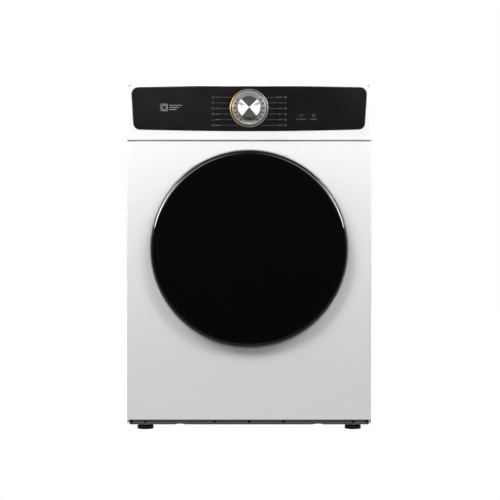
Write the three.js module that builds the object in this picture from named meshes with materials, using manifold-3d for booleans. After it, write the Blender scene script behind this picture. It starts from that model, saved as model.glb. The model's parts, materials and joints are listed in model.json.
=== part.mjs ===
// Vented tumble dryer, built as an assembly of separate pieces.
//
// Units are millimetres. X runs to the right as seen from the front, Y runs from the front to the back
// and Z runs up.
// The pieces are built in the cabinet's frame: Y = 0 is the face of the front panel and Z = 0 is the floor.
// The exported group shifts them so that the origin is on the floor, under the middle of the whole machine.
import * as THREE from "three";
import { mergeVertices } from "three/addons/utils/BufferGeometryUtils.js";
import Module from "manifold-3d";

const wasm = await Module();
wasm.setup();

// ---- Driving dimensions ----

// Overall sizes
const WIDTH = 595;
const HEIGHT = 845; // floor to the top of the worktop
const CABINET_DEPTH = 472; // front panel face to rear panel face
const DOOR_DEPTH = 50; // how far the door stands out in front
const REAR_COVER_DEPTH = 38; // how far the heater cover stands out behind

// Sheet metal and fits
const SHEET = 0.8; // painted and galvanised panels
const GAP = 0.4; // between fixed neighbours
const RUNNING = 0.6; // beside a turning piece, facets allowed for
const LARGE = 48; // facets round the door and its opening
const MEDIUM = 32; // facets round the inner rings
const SMALL = 16; // facets round shafts and pins
const DRUM_FACETS = 60;

// Cabinet
const CORNER = 4; // front panel's vertical edges
const FRONT_WRAP = 12; // front panel's returns along the sides
const SIDE_RETURN = 14; // side panels' inward flanges
const WORKTOP_HEIGHT = 25;
const WORKTOP_WALL = 2.5;
const WORKTOP_CORNER = 14;
const WORKTOP_SETBACK = 2; // behind the front panel's face
const FOOT_HEIGHT = 14; // floor to the underside of the base
const SKIRT_HEIGHT = 13; // base left showing below the front panel
const SKIRT_SETBACK = 8;
const BASE_WALL = 2;
const BASE_SIDE_GAP = 5.5; // side face to the base's own side
const BASE_RIM = 24; // height of the base tray
const BASE_FLOOR_RISE = 2; // floor of the tray above its lower edge
const SKIRT_HOLE_RADIUS = 3.5;
const SKIRT_HOLE_PITCH = 84; // between the three middle holes
const SKIRT_HOLE_INSET = 44.5; // side face to the outer holes
const SKIRT_NOTCH = { inset: 11.5, width: 5, height: 9 };
const BRACE = { width: 22, height: 22, wall: 1.2, gap: 3 };

// Control panel
const FASCIA_DROP = 6; // top of the fascia below the top of the worktop
const FASCIA_HEIGHT = 134;
const FASCIA_PROUD = 4; // in front of the front panel
const FASCIA_DEPTH = 30;
const FASCIA_WALL = 2.5;
const FASCIA_CORNER = 18;
const FASCIA_LOWER_CORNER = 3;
const FASCIA_SEAM = 2; // shadow gap above the front panel
const WINDOW_TOP_WIDTH = 573;
const WINDOW_BOTTOM_WIDTH = 564;
const WINDOW_HEIGHT = 103; // at its ends
const WINDOW_TOP_INSET = 5; // below the fascia's top, at its ends
const WINDOW_TOP_BOW = 2.2;
const WINDOW_BOTTOM_BOW = 4;
const WINDOW_CORNER = 13;
const WINDOW_PROUD = 1;
const WINDOW_THICK = 3;

// Program dial
const DIAL_DROP = 62; // centre below the top of the worktop
const HALO_RADIUS = 46.4;
const BEZEL_RADIUS = 41;
const KNOB_RADIUS = 27;
const KNOB_PROUD = 26; // in front of the window
const BEZEL_PROUD = 4.5;
const HALO_PROUD = 3;
const SPINDLE_RADIUS = 3;
const BOARD = { width: 360, height: 84, thick: 1.6, y: 20 };
const ENCODER = { half: 8, depth: 8, seat: 0.5 };

// Door
const DOOR_HEIGHT = 442; // its centre above the floor
const DOOR_RADIUS = 237;
const DOOR_CLEAR = 6; // front panel face to the back of the door
const RIM_WIDTH = 18; // how far the rounded rim reaches round the glass
const RIM_WALL = 3;
const GLASS_THICK = 3.5;
const GLASS_DOME = 3;
const DOOR_BACK_WALL = 2;
const PLUG_CLEAR = 12; // bowl inside the mouth
const PLUG_DEPTH = 22; // behind the front panel's face
const PLUG_DISH = 9;
const PLUG_ROUND = 8;
const SEAL_LAP = 3; // seal outside the mouth
const SEAL_WIDTH = 11;
const GRIP = { halfHeight: 42, depth: 16, reach: 20 };

// Hinge and catch, placed from the middle of the door
const HINGE_INSET = 21; // pin inside the door's edge
const HINGE_FORWARD = 27; // pin in front of the front panel
const HINGE_PIN_RADIUS = 4;
const HINGE_ARM = { level: 28, thick: 3, eye: 7, reach: 25, width: 9 };
const HINGE_PLATE = { width: 28, halfHeight: 46, thick: 2 };
const HINGE_SLOT_CLEAR = 1.5;
const CATCH = { inset: 32, width: 18, height: 32, depth: 20, wall: 3 };
const HOOK = { thick: 4, height: 20, reach: 14 };

// Front opening and drum front
const DISH_MARGIN = 6; // recess in the front panel round the door
const DISH_DEPTH = 7;
const DISH_SLOPE = 6;
const MOUTH_INSET = 67; // mouth inside the door's edge
const OPENING_CLEAR = 4.5; // front panel's opening round the mouth collar
const MOUTH_WALL = 2.5;
const MOUTH_FLANGE = 12;
const BULKHEAD_Y = 58;
const BULKHEAD_WALL = 1.2;
const BULKHEAD_SIDE_GAP = 9.5;
const BULKHEAD_FLANGE = 10;
const BULKHEAD_BOTTOM = 40;
const BULKHEAD_TOP_GAP = 8;

// Lint filter and the duct that holds it
const FILTER = { halfWidth: 88, y: 34, thick: 16, length: 98, wall: 1.5 };
const FILTER_CLEAR = 2;
const FILTER_GRIP = { halfWidth: 18, height: 22, thick: 3 };
const DUCT_WALL = 2;
const DUCT_MARGIN = 22; // round the fan's eye

// Drum
const DRUM_HEIGHT = 490; // its axis above the floor
const DRUM_SIDE_CLEAR = 17.5;
const DRUM_TOP_CLEAR = 50;
const DRUM_FRONT = 62;
const DRUM_LENGTH = 388;
const DRUM_WALL_SETBACK = 4; // rear wall inside the shell's end
const DRUM_SLOTS = 12;
const LIFTER = { count: 3, base: 74, crest: 16, height: 62, inset: 26 };
const LIFTER_TURN = 30; // first lifter, degrees from the top
const DRUM_LIP_CLEAR = 8; // bulkhead lip inside the shell
const DRUM_LIP_REACH = 15;
const SHAFT_RADIUS = 10;
const SHAFT_FLANGE_RADIUS = 45;
const BUSH_WALL = 6;
const AIR_RING_RADIUS = 259;
const ROLLER = { radius: 22, width: 24, y: 66, turn: 30, pin: 5 };

// Drive and fan
const MOTOR_X = 70;
const MOTOR_HEIGHT = 118;
const MOTOR_RADIUS = 58;
const MOTOR_Y = 150;
const MOTOR_LENGTH = 105;
const MOTOR_SHAFT_RADIUS = 6;
const ROTOR_RADIUS = 27;
const PULLEY_RADIUS = 8;
const BELT_WIDTH = 9;
const BELT_THICK = 2.5;
const BELT_Y = 277;
const IDLER = { radius: 16, x: 9, z: 143.6, pivotX: -60, pivotZ: 150, width: 13, pin: 4 };
const FAN_WHEEL_RADIUS = 72;
const FAN_CASE_RADIUS = 86;
const FAN_CASE_Y = 64;
const FAN_CASE_DEPTH = 50;
const FAN_EYE_RADIUS = 43;
const FAN_OUTLET_REACH = 160;
const FAN_OUTLET_HEIGHT = 76;
const FAN_BLADES = 12;

// Exhaust
const VENT = { inset: 105.5, z: 93, radius: 51, wall: 2.5, flange: 62, reach: 36 };
const EXHAUST_SIDE = 104;

// Heater, behind the rear panel
const COVER_RADIUS = 205;
const COVER_FLANGE = 10;
const COVER_WALL = 1;
const HEATER_CHANNEL = { left: 60, right: 190, drop: 330 };
const HEATER_ROD_RADIUS = 4;
const HEATER_PASSES = 5;
const HOT_AIR_SLOTS = 10;

// Feet and mains entry
const FOOT = { inset: 42.5, frontY: 45, rearInset: 42, padRadius: 20, padHeight: 9, stud: 5, studTop: 34 };
const GLAND = { inset: 57.5, drop: 110, radius: 9, bore: 4.5 };

// ---- Derived places ----

const HALF = WIDTH / 2;
const WORKTOP_BOTTOM = HEIGHT - WORKTOP_HEIGHT;
const FASCIA_TOP = HEIGHT - FASCIA_DROP;
const FASCIA_BOTTOM = FASCIA_TOP - FASCIA_HEIGHT;
const FRONT_BOTTOM = FOOT_HEIGHT + SKIRT_HEIGHT;
const FRONT_TOP = FASCIA_BOTTOM - FASCIA_SEAM;
const WINDOW_TOP = FASCIA_TOP - WINDOW_TOP_INSET;
const WINDOW_FACE = -FASCIA_PROUD - WINDOW_PROUD;
const DIAL_HEIGHT = HEIGHT - DIAL_DROP;
const DRUM_RADIUS = Math.min(HALF - DRUM_SIDE_CLEAR, WORKTOP_BOTTOM - DRUM_TOP_CLEAR - DRUM_HEIGHT);
const DRUM_BACK = DRUM_FRONT + DRUM_LENGTH;
const DRUM_WALL_Y = DRUM_BACK - DRUM_WALL_SETBACK;
const REAR_INSIDE = CABINET_DEPTH - SHEET;
const BASE_FLOOR_TOP = FOOT_HEIGHT + BASE_FLOOR_RISE + BASE_WALL;
const MOUTH_RADIUS = DOOR_RADIUS - MOUTH_INSET;
const OPENING_RADIUS = MOUTH_RADIUS + MOUTH_WALL + OPENING_CLEAR;
const PLUG_RADIUS = MOUTH_RADIUS - PLUG_CLEAR;
const SEAL_RADIUS = MOUTH_RADIUS + SEAL_LAP;
const CATCH_X = DOOR_RADIUS - CATCH.inset;
const RIM_RADIUS = DOOR_RADIUS - RIM_WIDTH;
const RIM_FRONT = DOOR_DEPTH - GLASS_DOME;
const HINGE_X = DOOR_RADIUS - HINGE_INSET;
const DISH_FLOOR = DISH_DEPTH + SHEET;
const BELT_RADIUS = DRUM_RADIUS + RUNNING + BELT_THICK / 2;
const ROLLER_REACH = DRUM_RADIUS + ROLLER.radius + 0.3;
const SKIRT_HOLES = [0, SKIRT_HOLE_PITCH, HALF - SKIRT_HOLE_INSET];
const FOOT_X = HALF - FOOT.inset;
const VENT_X = VENT.inset - HALF;
const GLAND_X = HALF - GLAND.inset;
const GLAND_Z = HEIGHT - GLAND.drop;
const MIDDLE_Y = (CABINET_DEPTH + REAR_COVER_DEPTH - DOOR_DEPTH) / 2;

// ---- Materials ----

const material = (color, roughness, metalness = 0) =>
  new THREE.MeshStandardMaterial({ color, roughness, metalness });
const WHITE_PAINT = material(0xf2f2f0, 0.35);
const WHITE_PLASTIC = material(0xf4f4f2, 0.3);
const BLACK_GLOSS = material(0x0b0b0d, 0.08);
const BLACK_PLASTIC = material(0x1a1a1c, 0.45);
const GREY_PLASTIC = material(0x9a9c9e, 0.5);
const GALVANISED = material(0xa8abad, 0.45, 0.8);
const BASE_STEEL = material(0x5b5955, 0.5, 0.5);
const STAINLESS = material(0xc6c8ca, 0.3, 1);
const SPUN_METAL = material(0xb9b7b0, 0.3, 1);
const AMBER_LIGHT = material(0xd08a2a, 0.3);
const RUBBER = material(0x3a3b3d, 0.85);
const FELT = material(0x8c8a83, 0.95);
const BRONZE = material(0x9a7444, 0.4, 0.9);
const COPPER_BOARD = material(0x1f5d3a, 0.6);
const CASE_PLASTIC = material(0xd9dadb, 0.55);

// ---- Solid helpers ----

// A closed three.js geometry as a solid for joining and cutting.
function solid(geometry) {
  const bare = geometry.clone();
  for (const name of Object.keys(bare.attributes)) {
    if (name !== "position") bare.deleteAttribute(name);
  }
  const merged = mergeVertices(bare, 1e-4);
  const corners = merged.index.array;
  const triVerts = [];
  for (let i = 0; i < corners.length; i += 3) {
    const [a, b, c] = [corners[i], corners[i + 1], corners[i + 2]];
    if (a !== b && b !== c && c !== a) triVerts.push(a, b, c);
  }
  return new wasm.Manifold(
    new wasm.Mesh({
      numProp: 3,
      vertProperties: new Float32Array(merged.attributes.position.array),
      triVerts: new Uint32Array(triVerts),
    }),
  );
}

// A solid back as a geometry.
function geometryOf(body) {
  const mesh = body.getMesh();
  const geometry = new THREE.BufferGeometry();
  geometry.setAttribute("position", new THREE.BufferAttribute(mesh.vertProperties, mesh.numProp));
  geometry.setIndex(new THREE.BufferAttribute(mesh.triVerts, 1));
  geometry.computeVertexNormals();
  return geometry;
}

const join = (first, ...others) => others.reduce((body, other) => body.add(other), first);
const cut = (first, ...others) => others.reduce((body, other) => body.subtract(other), first);

// A block between two corners, given as [low, high] along each axis.
function block([x0, x1], [y0, y1], [z0, z1]) {
  const box = new THREE.BoxGeometry(x1 - x0, y1 - y0, z1 - z0);
  return solid(box.translate((x0 + x1) / 2, (y0 + y1) / 2, (z0 + z1) / 2));
}

const EXTRUDE = { bevelEnabled: false, curveSegments: 6 };

// An outline in X and Z, extruded along Y.
function plateY(shape, y0, y1, curveSegments = EXTRUDE.curveSegments) {
  const made = new THREE.ExtrudeGeometry(shape, { ...EXTRUDE, curveSegments, depth: y1 - y0 });
  return solid(made.rotateX(Math.PI / 2).translate(0, y1, 0));
}

// An outline in X and Y, extruded along Z.
function plateZ(shape, z0, z1) {
  return solid(new THREE.ExtrudeGeometry(shape, { ...EXTRUDE, depth: z1 - z0 }).translate(0, 0, z0));
}

// A closed [radius, y] profile turned about the Y axis. Its points may run either way round.
function turned(profile, segments = LARGE) {
  const area = profile.reduce((sum, [r, y], i) => {
    const [nextR, nextY] = profile[(i + 1) % profile.length];
    return sum + r * nextY - nextR * y;
  }, 0);
  const ordered = area > 0 ? profile : [...profile].reverse();
  const start = ordered.findIndex(
    ([r], i) => r === 0 && ordered[(i + ordered.length - 1) % ordered.length][0] === 0,
  );
  const first = Math.max(start, 0);
  const points = [...ordered.slice(first), ...ordered.slice(0, first)];
  if (start < 0) points.push(points[0]);
  return solid(new THREE.LatheGeometry(points.map(([r, y]) => new THREE.Vector2(r, y)), segments));
}

const ring = (inner, outer, y0, y1, segments = LARGE) =>
  turned([[inner, y0], [outer, y0], [outer, y1], [inner, y1]], segments);
const disc = (radius, y0, y1, segments = LARGE) =>
  turned([[0, y0], [radius, y0], [radius, y1], [0, y1]], segments);

// A rod along Y, or along Z, through a point.
const rodY = (radius, y0, y1, x = 0, z = 0, segments = SMALL) =>
  disc(radius, y0, y1, segments).translate([x, 0, z]);
function rodZ(radius, z0, z1, x = 0, y = 0, segments = SMALL) {
  const rod = new THREE.CylinderGeometry(radius, radius, z1 - z0, segments);
  return solid(rod.rotateX(Math.PI / 2).translate(x, y, (z0 + z1) / 2));
}

// Points along an elliptical arc, angles in degrees.
function arc(x, y, radiusX, radiusY, from, to, steps) {
  return Array.from({ length: steps + 1 }, (_, i) => {
    const angle = THREE.MathUtils.degToRad(from + ((to - from) * i) / steps);
    return [x + radiusX * Math.cos(angle), y + radiusY * Math.sin(angle)];
  });
}

const shapeOf = (points) => new THREE.Shape(points.map(([x, y]) => new THREE.Vector2(x, y)));

// A rectangle with its own radius at the top and at the bottom corners.
function roundedRectangle(x0, x1, z0, z1, topRadius, bottomRadius) {
  const shape = new THREE.Shape();
  shape.absarc(x0 + bottomRadius, z0 + bottomRadius, bottomRadius, Math.PI, 1.5 * Math.PI);
  shape.absarc(x1 - bottomRadius, z0 + bottomRadius, bottomRadius, 1.5 * Math.PI, 2 * Math.PI);
  shape.absarc(x1 - topRadius, z1 - topRadius, topRadius, 0, 0.5 * Math.PI);
  shape.absarc(x0 + topRadius, z1 - topRadius, topRadius, 0.5 * Math.PI, Math.PI);
  shape.closePath();
  return shape;
}

// A named mesh of a solid.
function piece(name, look, body) {
  const mesh = new THREE.Mesh(geometryOf(body), look);
  mesh.name = name;
  return mesh;
}

function group(x, y, z, ...children) {
  const made = new THREE.Group();
  made.position.set(x, y, z);
  made.add(...children);
  return made;
}

// ---- Cabinet ----

function baseTray() {
  const outer = HALF - BASE_SIDE_GAP;
  const back = REAR_INSIDE - 2 * GAP - SHEET;
  const rim = FOOT_HEIGHT + BASE_RIM;
  const inside = [-outer + BASE_WALL, outer - BASE_WALL];
  const depth = [SKIRT_SETBACK + BASE_WALL, back - BASE_WALL];
  const tray = cut(
    block([-outer, outer], [SKIRT_SETBACK, back], [FOOT_HEIGHT, rim]),
    block(inside, depth, [BASE_FLOOR_TOP, rim + 1]),
    block(inside, depth, [FOOT_HEIGHT - 1, FOOT_HEIGHT + BASE_FLOOR_RISE]),
  );
  const through = [SKIRT_SETBACK - 1, SKIRT_SETBACK + BASE_WALL + 1];
  const level = FOOT_HEIGHT + SKIRT_HEIGHT / 2 + 1;
  const holes = SKIRT_HOLES.flatMap((x) => (x ? [-x, x] : [0])).map((x) =>
    rodY(SKIRT_HOLE_RADIUS, ...through, x, level, 12),
  );
  const notches = [SKIRT_NOTCH.inset - HALF, HALF - SKIRT_NOTCH.inset].map((x) =>
    block([x - SKIRT_NOTCH.width / 2, x + SKIRT_NOTCH.width / 2], through, [
      FOOT_HEIGHT + BASE_FLOOR_RISE + BASE_WALL,
      FOOT_HEIGHT + BASE_FLOOR_RISE + BASE_WALL + SKIRT_NOTCH.height,
    ]),
  );
  const studs = footPlaces().map(({ x, y }) =>
    rodZ(FOOT.stud + RUNNING, FOOT_HEIGHT, BASE_FLOOR_TOP + 1, x, y),
  );
  return piece("base_tray", BASE_STEEL, cut(tray, ...holes, ...notches, ...studs));
}

// A side panel: a C section with an inward flange at its front and its back.
function sidePanel(name, side) {
  const front = FRONT_WRAP + GAP;
  const back = REAR_INSIDE - GAP;
  const inner = HALF - SIDE_RETURN;
  const section = shapeOf([
    [inner, front],
    [HALF, front],
    [HALF, back],
    [inner, back],
    [inner, back - SHEET],
    [HALF - SHEET, back - SHEET],
    [HALF - SHEET, front + SHEET],
    [inner, front + SHEET],
  ]);
  const baseSpace = block(
    [inner - 1, HALF - SHEET],
    [front - 1, back + 1],
    [FOOT_HEIGHT - 1, FOOT_HEIGHT + BASE_RIM + GAP],
  );
  const fasciaBack = FASCIA_DEPTH - FASCIA_PROUD + GAP;
  const controls = block(
    [inner - 1, HALF + 1],
    [front - 1, fasciaBack],
    [FASCIA_BOTTOM - GAP, WORKTOP_BOTTOM + 1],
  );
  const right = cut(plateZ(section, FOOT_HEIGHT, WORKTOP_BOTTOM - GAP), baseSpace, controls);
  return piece(name, WHITE_PAINT, side > 0 ? right : right.mirror([1, 0, 0]));
}

// The front panel's plan section: a shallow U with rounded corners.
function frontPanelSection() {
  const outline = new THREE.Shape();
  outline.moveTo(HALF, FRONT_WRAP);
  outline.lineTo(HALF - SHEET, FRONT_WRAP);
  outline.absarc(HALF - CORNER, CORNER, CORNER - SHEET, 0, -0.5 * Math.PI, true);
  outline.absarc(CORNER - HALF, CORNER, CORNER - SHEET, 1.5 * Math.PI, Math.PI, true);
  outline.lineTo(SHEET - HALF, FRONT_WRAP);
  outline.lineTo(-HALF, FRONT_WRAP);
  outline.absarc(CORNER - HALF, CORNER, CORNER, Math.PI, 1.5 * Math.PI);
  outline.absarc(HALF - CORNER, CORNER, CORNER, 1.5 * Math.PI, 2 * Math.PI);
  return outline;
}

function frontPanel() {
  const dishTop = DOOR_RADIUS + DISH_MARGIN;
  const dishFloor = dishTop - DISH_SLOPE;
  const dish = turned([
    [OPENING_RADIUS, DISH_DEPTH],
    [dishFloor, DISH_DEPTH],
    [dishTop, 0],
    [dishTop + SHEET, 0],
    [dishTop + SHEET, SHEET],
    [dishTop, SHEET],
    [dishFloor, DISH_FLOOR],
    [OPENING_RADIUS, DISH_FLOOR],
  ]).translate([0, 0, DOOR_HEIGHT]);
  const sheet = cut(
    plateZ(frontPanelSection(), FRONT_BOTTOM, FRONT_TOP),
    rodY(dishTop, -1, SHEET + 1, 0, DOOR_HEIGHT, LARGE),
  );
  const through = [DISH_DEPTH - 1, DISH_FLOOR + 1];
  const catchSlot = block(
    [-CATCH_X - CATCH.width / 2, -CATCH_X + CATCH.width / 2],
    through,
    [DOOR_HEIGHT - CATCH.height / 2, DOOR_HEIGHT + CATCH.height / 2],
  );
  const armSlots = [-1, 1].map((side) => {
    const level = DOOR_HEIGHT + side * HINGE_ARM.level;
    const half = HINGE_ARM.thick / 2 + HINGE_SLOT_CLEAR;
    const left = HINGE_X - HINGE_ARM.reach - HINGE_ARM.width / 2;
    return block(
      [left - HINGE_SLOT_CLEAR, left + HINGE_ARM.width + HINGE_SLOT_CLEAR],
      through,
      [level - half, level + half],
    );
  });
  return piece("front_panel", WHITE_PAINT, cut(join(sheet, dish), catchSlot, ...armSlots));
}

function rearPanel() {
  const half = HALF - 2;
  const sheet = block([-half, half], [REAR_INSIDE, CABINET_DEPTH], [
    FOOT_HEIGHT + 4,
    WORKTOP_BOTTOM - GAP,
  ]);
  const through = [REAR_INSIDE - 1, CABINET_DEPTH + 1];
  const slotRadius = (SHAFT_FLANGE_RADIUS + COVER_RADIUS) / 2 + 20;
  const hotAir = Array.from({ length: HOT_AIR_SLOTS }, (_, i) =>
    block([-34, 34], through, [slotRadius - 14, slotRadius + 14])
      .rotate([0, (360 * i) / HOT_AIR_SLOTS, 0])
      .translate([0, 0, DRUM_HEIGHT]),
  );
  return piece(
    "rear_panel",
    GALVANISED,
    cut(
      sheet,
      ...hotAir,
      rodY(SHAFT_RADIUS + BUSH_WALL, ...through, 0, DRUM_HEIGHT),
      rodY(VENT.radius + GAP, ...through, VENT_X, VENT.z, 32),
      rodY(GLAND.radius, ...through, GLAND_X, GLAND_Z, 16),
    ),
  );
}

function worktop() {
  const outline = (inset) =>
    roundedRectangle(
      -HALF + inset,
      HALF - inset,
      WORKTOP_BOTTOM,
      HEIGHT - inset,
      WORKTOP_CORNER - inset,
      0.5,
    );
  const back = CABINET_DEPTH + 2;
  const cavity = plateY(outline(WORKTOP_WALL), WORKTOP_SETBACK + WORKTOP_WALL, back - WORKTOP_WALL);
  const underside = block(
    [-HALF + WORKTOP_WALL, HALF - WORKTOP_WALL],
    [WORKTOP_SETBACK + WORKTOP_WALL, back - WORKTOP_WALL],
    [WORKTOP_BOTTOM - 1, WORKTOP_BOTTOM + 2],
  );
  return piece(
    "worktop",
    WHITE_PAINT,
    cut(plateY(outline(0), WORKTOP_SETBACK, back), cavity, underside, fasciaSpace()),
  );
}

// The room that the control panel takes from the front of the worktop.
function fasciaSpace() {
  return block(
    [-HALF - 1, HALF + 1],
    [WORKTOP_SETBACK - 1, FASCIA_DEPTH - FASCIA_PROUD + GAP],
    [WORKTOP_BOTTOM - 1, FASCIA_TOP + GAP],
  );
}

// A brace across the cabinet: a channel open downwards.
function brace(name, y) {
  const half = HALF - BRACE.gap;
  const top = WORKTOP_BOTTOM - BRACE.gap;
  const inner = [y + BRACE.wall, y + BRACE.width - BRACE.wall];
  return piece(
    name,
    GALVANISED,
    cut(
      block([-half, half], [y, y + BRACE.width], [top - BRACE.height, top]),
      block([-half - 1, half + 1], inner, [top - BRACE.height - 1, top - BRACE.wall]),
    ),
  );
}

function footPlaces() {
  return [
    { name: "foot_front_left", x: -FOOT_X, y: FOOT.frontY },
    { name: "foot_front_right", x: FOOT_X, y: FOOT.frontY },
    { name: "foot_rear_left", x: -FOOT_X, y: CABINET_DEPTH - FOOT.rearInset },
    { name: "foot_rear_right", x: FOOT_X, y: CABINET_DEPTH - FOOT.rearInset },
  ];
}

// A levelling foot: a round pad, a lock nut and a stud, turned about Z.
function foot({ name, x, y }) {
  const nutTop = FOOT_HEIGHT - GAP;
  const body = join(
    rodZ(FOOT.padRadius, 0, FOOT.padHeight, 0, 0, 24),
    rodZ(FOOT.stud * 1.7, FOOT.padHeight - 1, nutTop, 0, 0, 6),
    rodZ(FOOT.stud, FOOT.padHeight - 1, FOOT.studTop, 0, 0, 16),
  );
  const mesh = piece(name, RUBBER, body);
  mesh.position.set(x, y, 0);
  return mesh;
}

function cordGland() {
  const face = CABINET_DEPTH + 0.3;
  const body = turned(
    [
      [GLAND.bore, REAR_INSIDE - 10],
      [GLAND.radius - 0.3, REAR_INSIDE - 10],
      [GLAND.radius - 0.3, face],
      [GLAND.radius + 4, face],
      [GLAND.radius + 4, face + 4],
      [GLAND.bore, face + 4],
    ],
    16,
  );
  const mesh = piece("cord_gland", BLACK_PLASTIC, body);
  mesh.position.set(GLAND_X, 0, GLAND_Z);
  return mesh;
}

function cabinet() {
  return group(
    0, 0, 0,
    baseTray(),
    sidePanel("side_panel_left", -1),
    sidePanel("side_panel_right", 1),
    frontPanel(),
    rearPanel(),
    worktop(),
    brace("front_brace", FASCIA_DEPTH - FASCIA_PROUD + 4),
    brace("rear_brace", REAR_INSIDE - BRACE.width - BRACE.gap - SHEET),
    cordGland(),
    ...footPlaces().map(foot),
  );
}

// ---- Control panel ----

// The window's outline: bowed along its top and bottom, with leaning ends and rounded corners.
function windowShape(inset) {
  const top = WINDOW_TOP - inset;
  const bottom = WINDOW_TOP - WINDOW_HEIGHT + inset;
  const topHalf = WINDOW_TOP_WIDTH / 2 - inset;
  const bottomHalf = WINDOW_BOTTOM_WIDTH / 2 - inset;
  const r = WINDOW_CORNER - inset;
  const lean = ((topHalf - bottomHalf) * r) / (top - bottom);
  const shape = new THREE.Shape();
  shape.moveTo(bottomHalf - r, bottom);
  shape.quadraticCurveTo(bottomHalf, bottom, bottomHalf + lean, bottom + r);
  shape.lineTo(topHalf - lean, top - r);
  shape.quadraticCurveTo(topHalf, top, topHalf - r, top);
  shape.quadraticCurveTo(0, top + 2 * WINDOW_TOP_BOW, r - topHalf, top);
  shape.quadraticCurveTo(-topHalf, top, lean - topHalf, top - r);
  shape.lineTo(-bottomHalf - lean, bottom + r);
  shape.quadraticCurveTo(-bottomHalf, bottom, r - bottomHalf, bottom);
  shape.quadraticCurveTo(0, bottom - 2 * WINDOW_BOTTOM_BOW, bottomHalf - r, bottom);
  return shape;
}

function controlPanel() {
  const outline = (inset) =>
    roundedRectangle(
      -HALF + inset, HALF - inset, FASCIA_BOTTOM + inset, FASCIA_TOP - inset,
      FASCIA_CORNER - inset, FASCIA_LOWER_CORNER - inset,
    );
  const back = FASCIA_DEPTH - FASCIA_PROUD;
  return piece(
    "control_panel",
    WHITE_PLASTIC,
    cut(
      plateY(outline(0), -FASCIA_PROUD, back),
      plateY(outline(FASCIA_WALL), FASCIA_WALL - FASCIA_PROUD, back + 1),
      plateY(windowShape(0), -FASCIA_PROUD - 1, FASCIA_WALL, 10),
    ),
  );
}

function fasciaWindow() {
  const back = WINDOW_FACE + WINDOW_THICK;
  return piece(
    "fascia_window",
    BLACK_GLOSS,
    cut(
      plateY(windowShape(GAP), WINDOW_FACE, back, 10),
      rodY(BEZEL_RADIUS - 5, WINDOW_FACE - 1, back + 1, 0, DIAL_HEIGHT, 32),
    ),
  );
}

function controlBoard() {
  const { width, height, thick, y } = BOARD;
  const board = block([-width / 2, width / 2], [y, y + thick], [-height / 2, height / 2]);
  const { half, depth, seat } = ENCODER;
  const encoder = cut(
    block([-half, half], [y - depth, y + seat], [-half, half]),
    rodY(SPINDLE_RADIUS + RUNNING, y - depth - 1, y + 3),
  );
  const relays = [-150, -115, 120].map((x) => block([x, x + 22], [y - 12, y + 0.5], [-30, -8]));
  const bore = rodY(SPINDLE_RADIUS + RUNNING, y - 1, y + thick + 1);
  return piece("control_board", COPPER_BOARD, cut(join(board, encoder, ...relays), bore));
}

function dial() {
  const face = WINDOW_FACE - 0.3;
  const halo = ring(BEZEL_RADIUS + GAP, HALO_RADIUS, face - HALO_PROUD, face, MEDIUM);
  const bezel = turned(
    [
      [SPINDLE_RADIUS + RUNNING, face - 2],
      [KNOB_RADIUS + 1, face - 2],
      [KNOB_RADIUS + 2, face - BEZEL_PROUD + 1.5],
      [BEZEL_RADIUS - 1, face - BEZEL_PROUD],
      [BEZEL_RADIUS, face - BEZEL_PROUD + 1],
      [BEZEL_RADIUS, face],
      [SPINDLE_RADIUS + RUNNING, face],
    ],
    MEDIUM,
  );
  const knobBack = face - 2 - RUNNING;
  const knobFront = WINDOW_FACE - KNOB_PROUD;
  const knob = turned(
    [
      [0, knobFront + 4],
      [SPINDLE_RADIUS + GAP, knobFront + 4],
      [SPINDLE_RADIUS + GAP, knobBack],
      [KNOB_RADIUS - 1, knobBack],
      [KNOB_RADIUS, knobFront + 3],
      [KNOB_RADIUS - 2, knobFront + 0.6],
      [0, knobFront],
    ],
    MEDIUM,
  );
  return group(
    0, 0, DIAL_HEIGHT,
    controlBoard(),
    piece("dial_halo", AMBER_LIGHT, halo),
    piece("dial_bezel", SPUN_METAL, bezel),
    piece("program_knob", SPUN_METAL, knob),
    piece(
      "knob_spindle",
      BLACK_PLASTIC,
      rodY(SPINDLE_RADIUS, knobFront + 5, BOARD.y + BOARD.thick + 3),
    ),
  );
}

// ---- Door, built about its own middle ----

// The rim's section: a rounded nose, open towards the middle of the door.
function rimProfile() {
  const middle = -(RIM_FRONT + DOOR_CLEAR) / 2;
  const half = (RIM_FRONT - DOOR_CLEAR) / 2;
  return [
    ...arc(RIM_RADIUS, middle, RIM_WIDTH, half, -90, 90, 6),
    ...arc(RIM_RADIUS, middle, RIM_WIDTH - RIM_WALL, half - RIM_WALL, 90, -90, 3),
  ];
}

// The slots that the hinge's fixed arms need in the door, out to its edge.
function hingeArmSlots() {
  return [-1, 1].map((side) => {
    const level = side * HINGE_ARM.level;
    const half = HINGE_ARM.thick / 2 + HINGE_SLOT_CLEAR;
    return block(
      [HINGE_X - HINGE_ARM.reach - HINGE_ARM.width - 6, DOOR_RADIUS + 1],
      [-HINGE_FORWARD - HINGE_ARM.eye - 0.5, 1],
      [level - half, level + half],
    );
  });
}

function doorRing() {
  const grip = block(
    [-DOOR_RADIUS - 1, GRIP.reach - DOOR_RADIUS],
    [-DOOR_CLEAR - GRIP.depth, 0],
    [-GRIP.halfHeight, GRIP.halfHeight],
  );
  return piece("door_ring", BLACK_GLOSS, cut(turned(rimProfile()), grip, ...hingeArmSlots()));
}

function doorGlass() {
  const edge = RIM_RADIUS - GAP;
  const crown = (r) => -RIM_FRONT - GLASS_DOME * (1 - (r / edge) ** 2);
  const radii = [0, 0.6, 1].map((share) => share * edge);
  return piece(
    "door_glass",
    BLACK_GLOSS,
    turned([
      ...radii.map((r) => [r, crown(r)]),
      ...[...radii].reverse().map((r) => [r, crown(r) + GLASS_THICK]),
    ]),
  );
}

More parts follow.
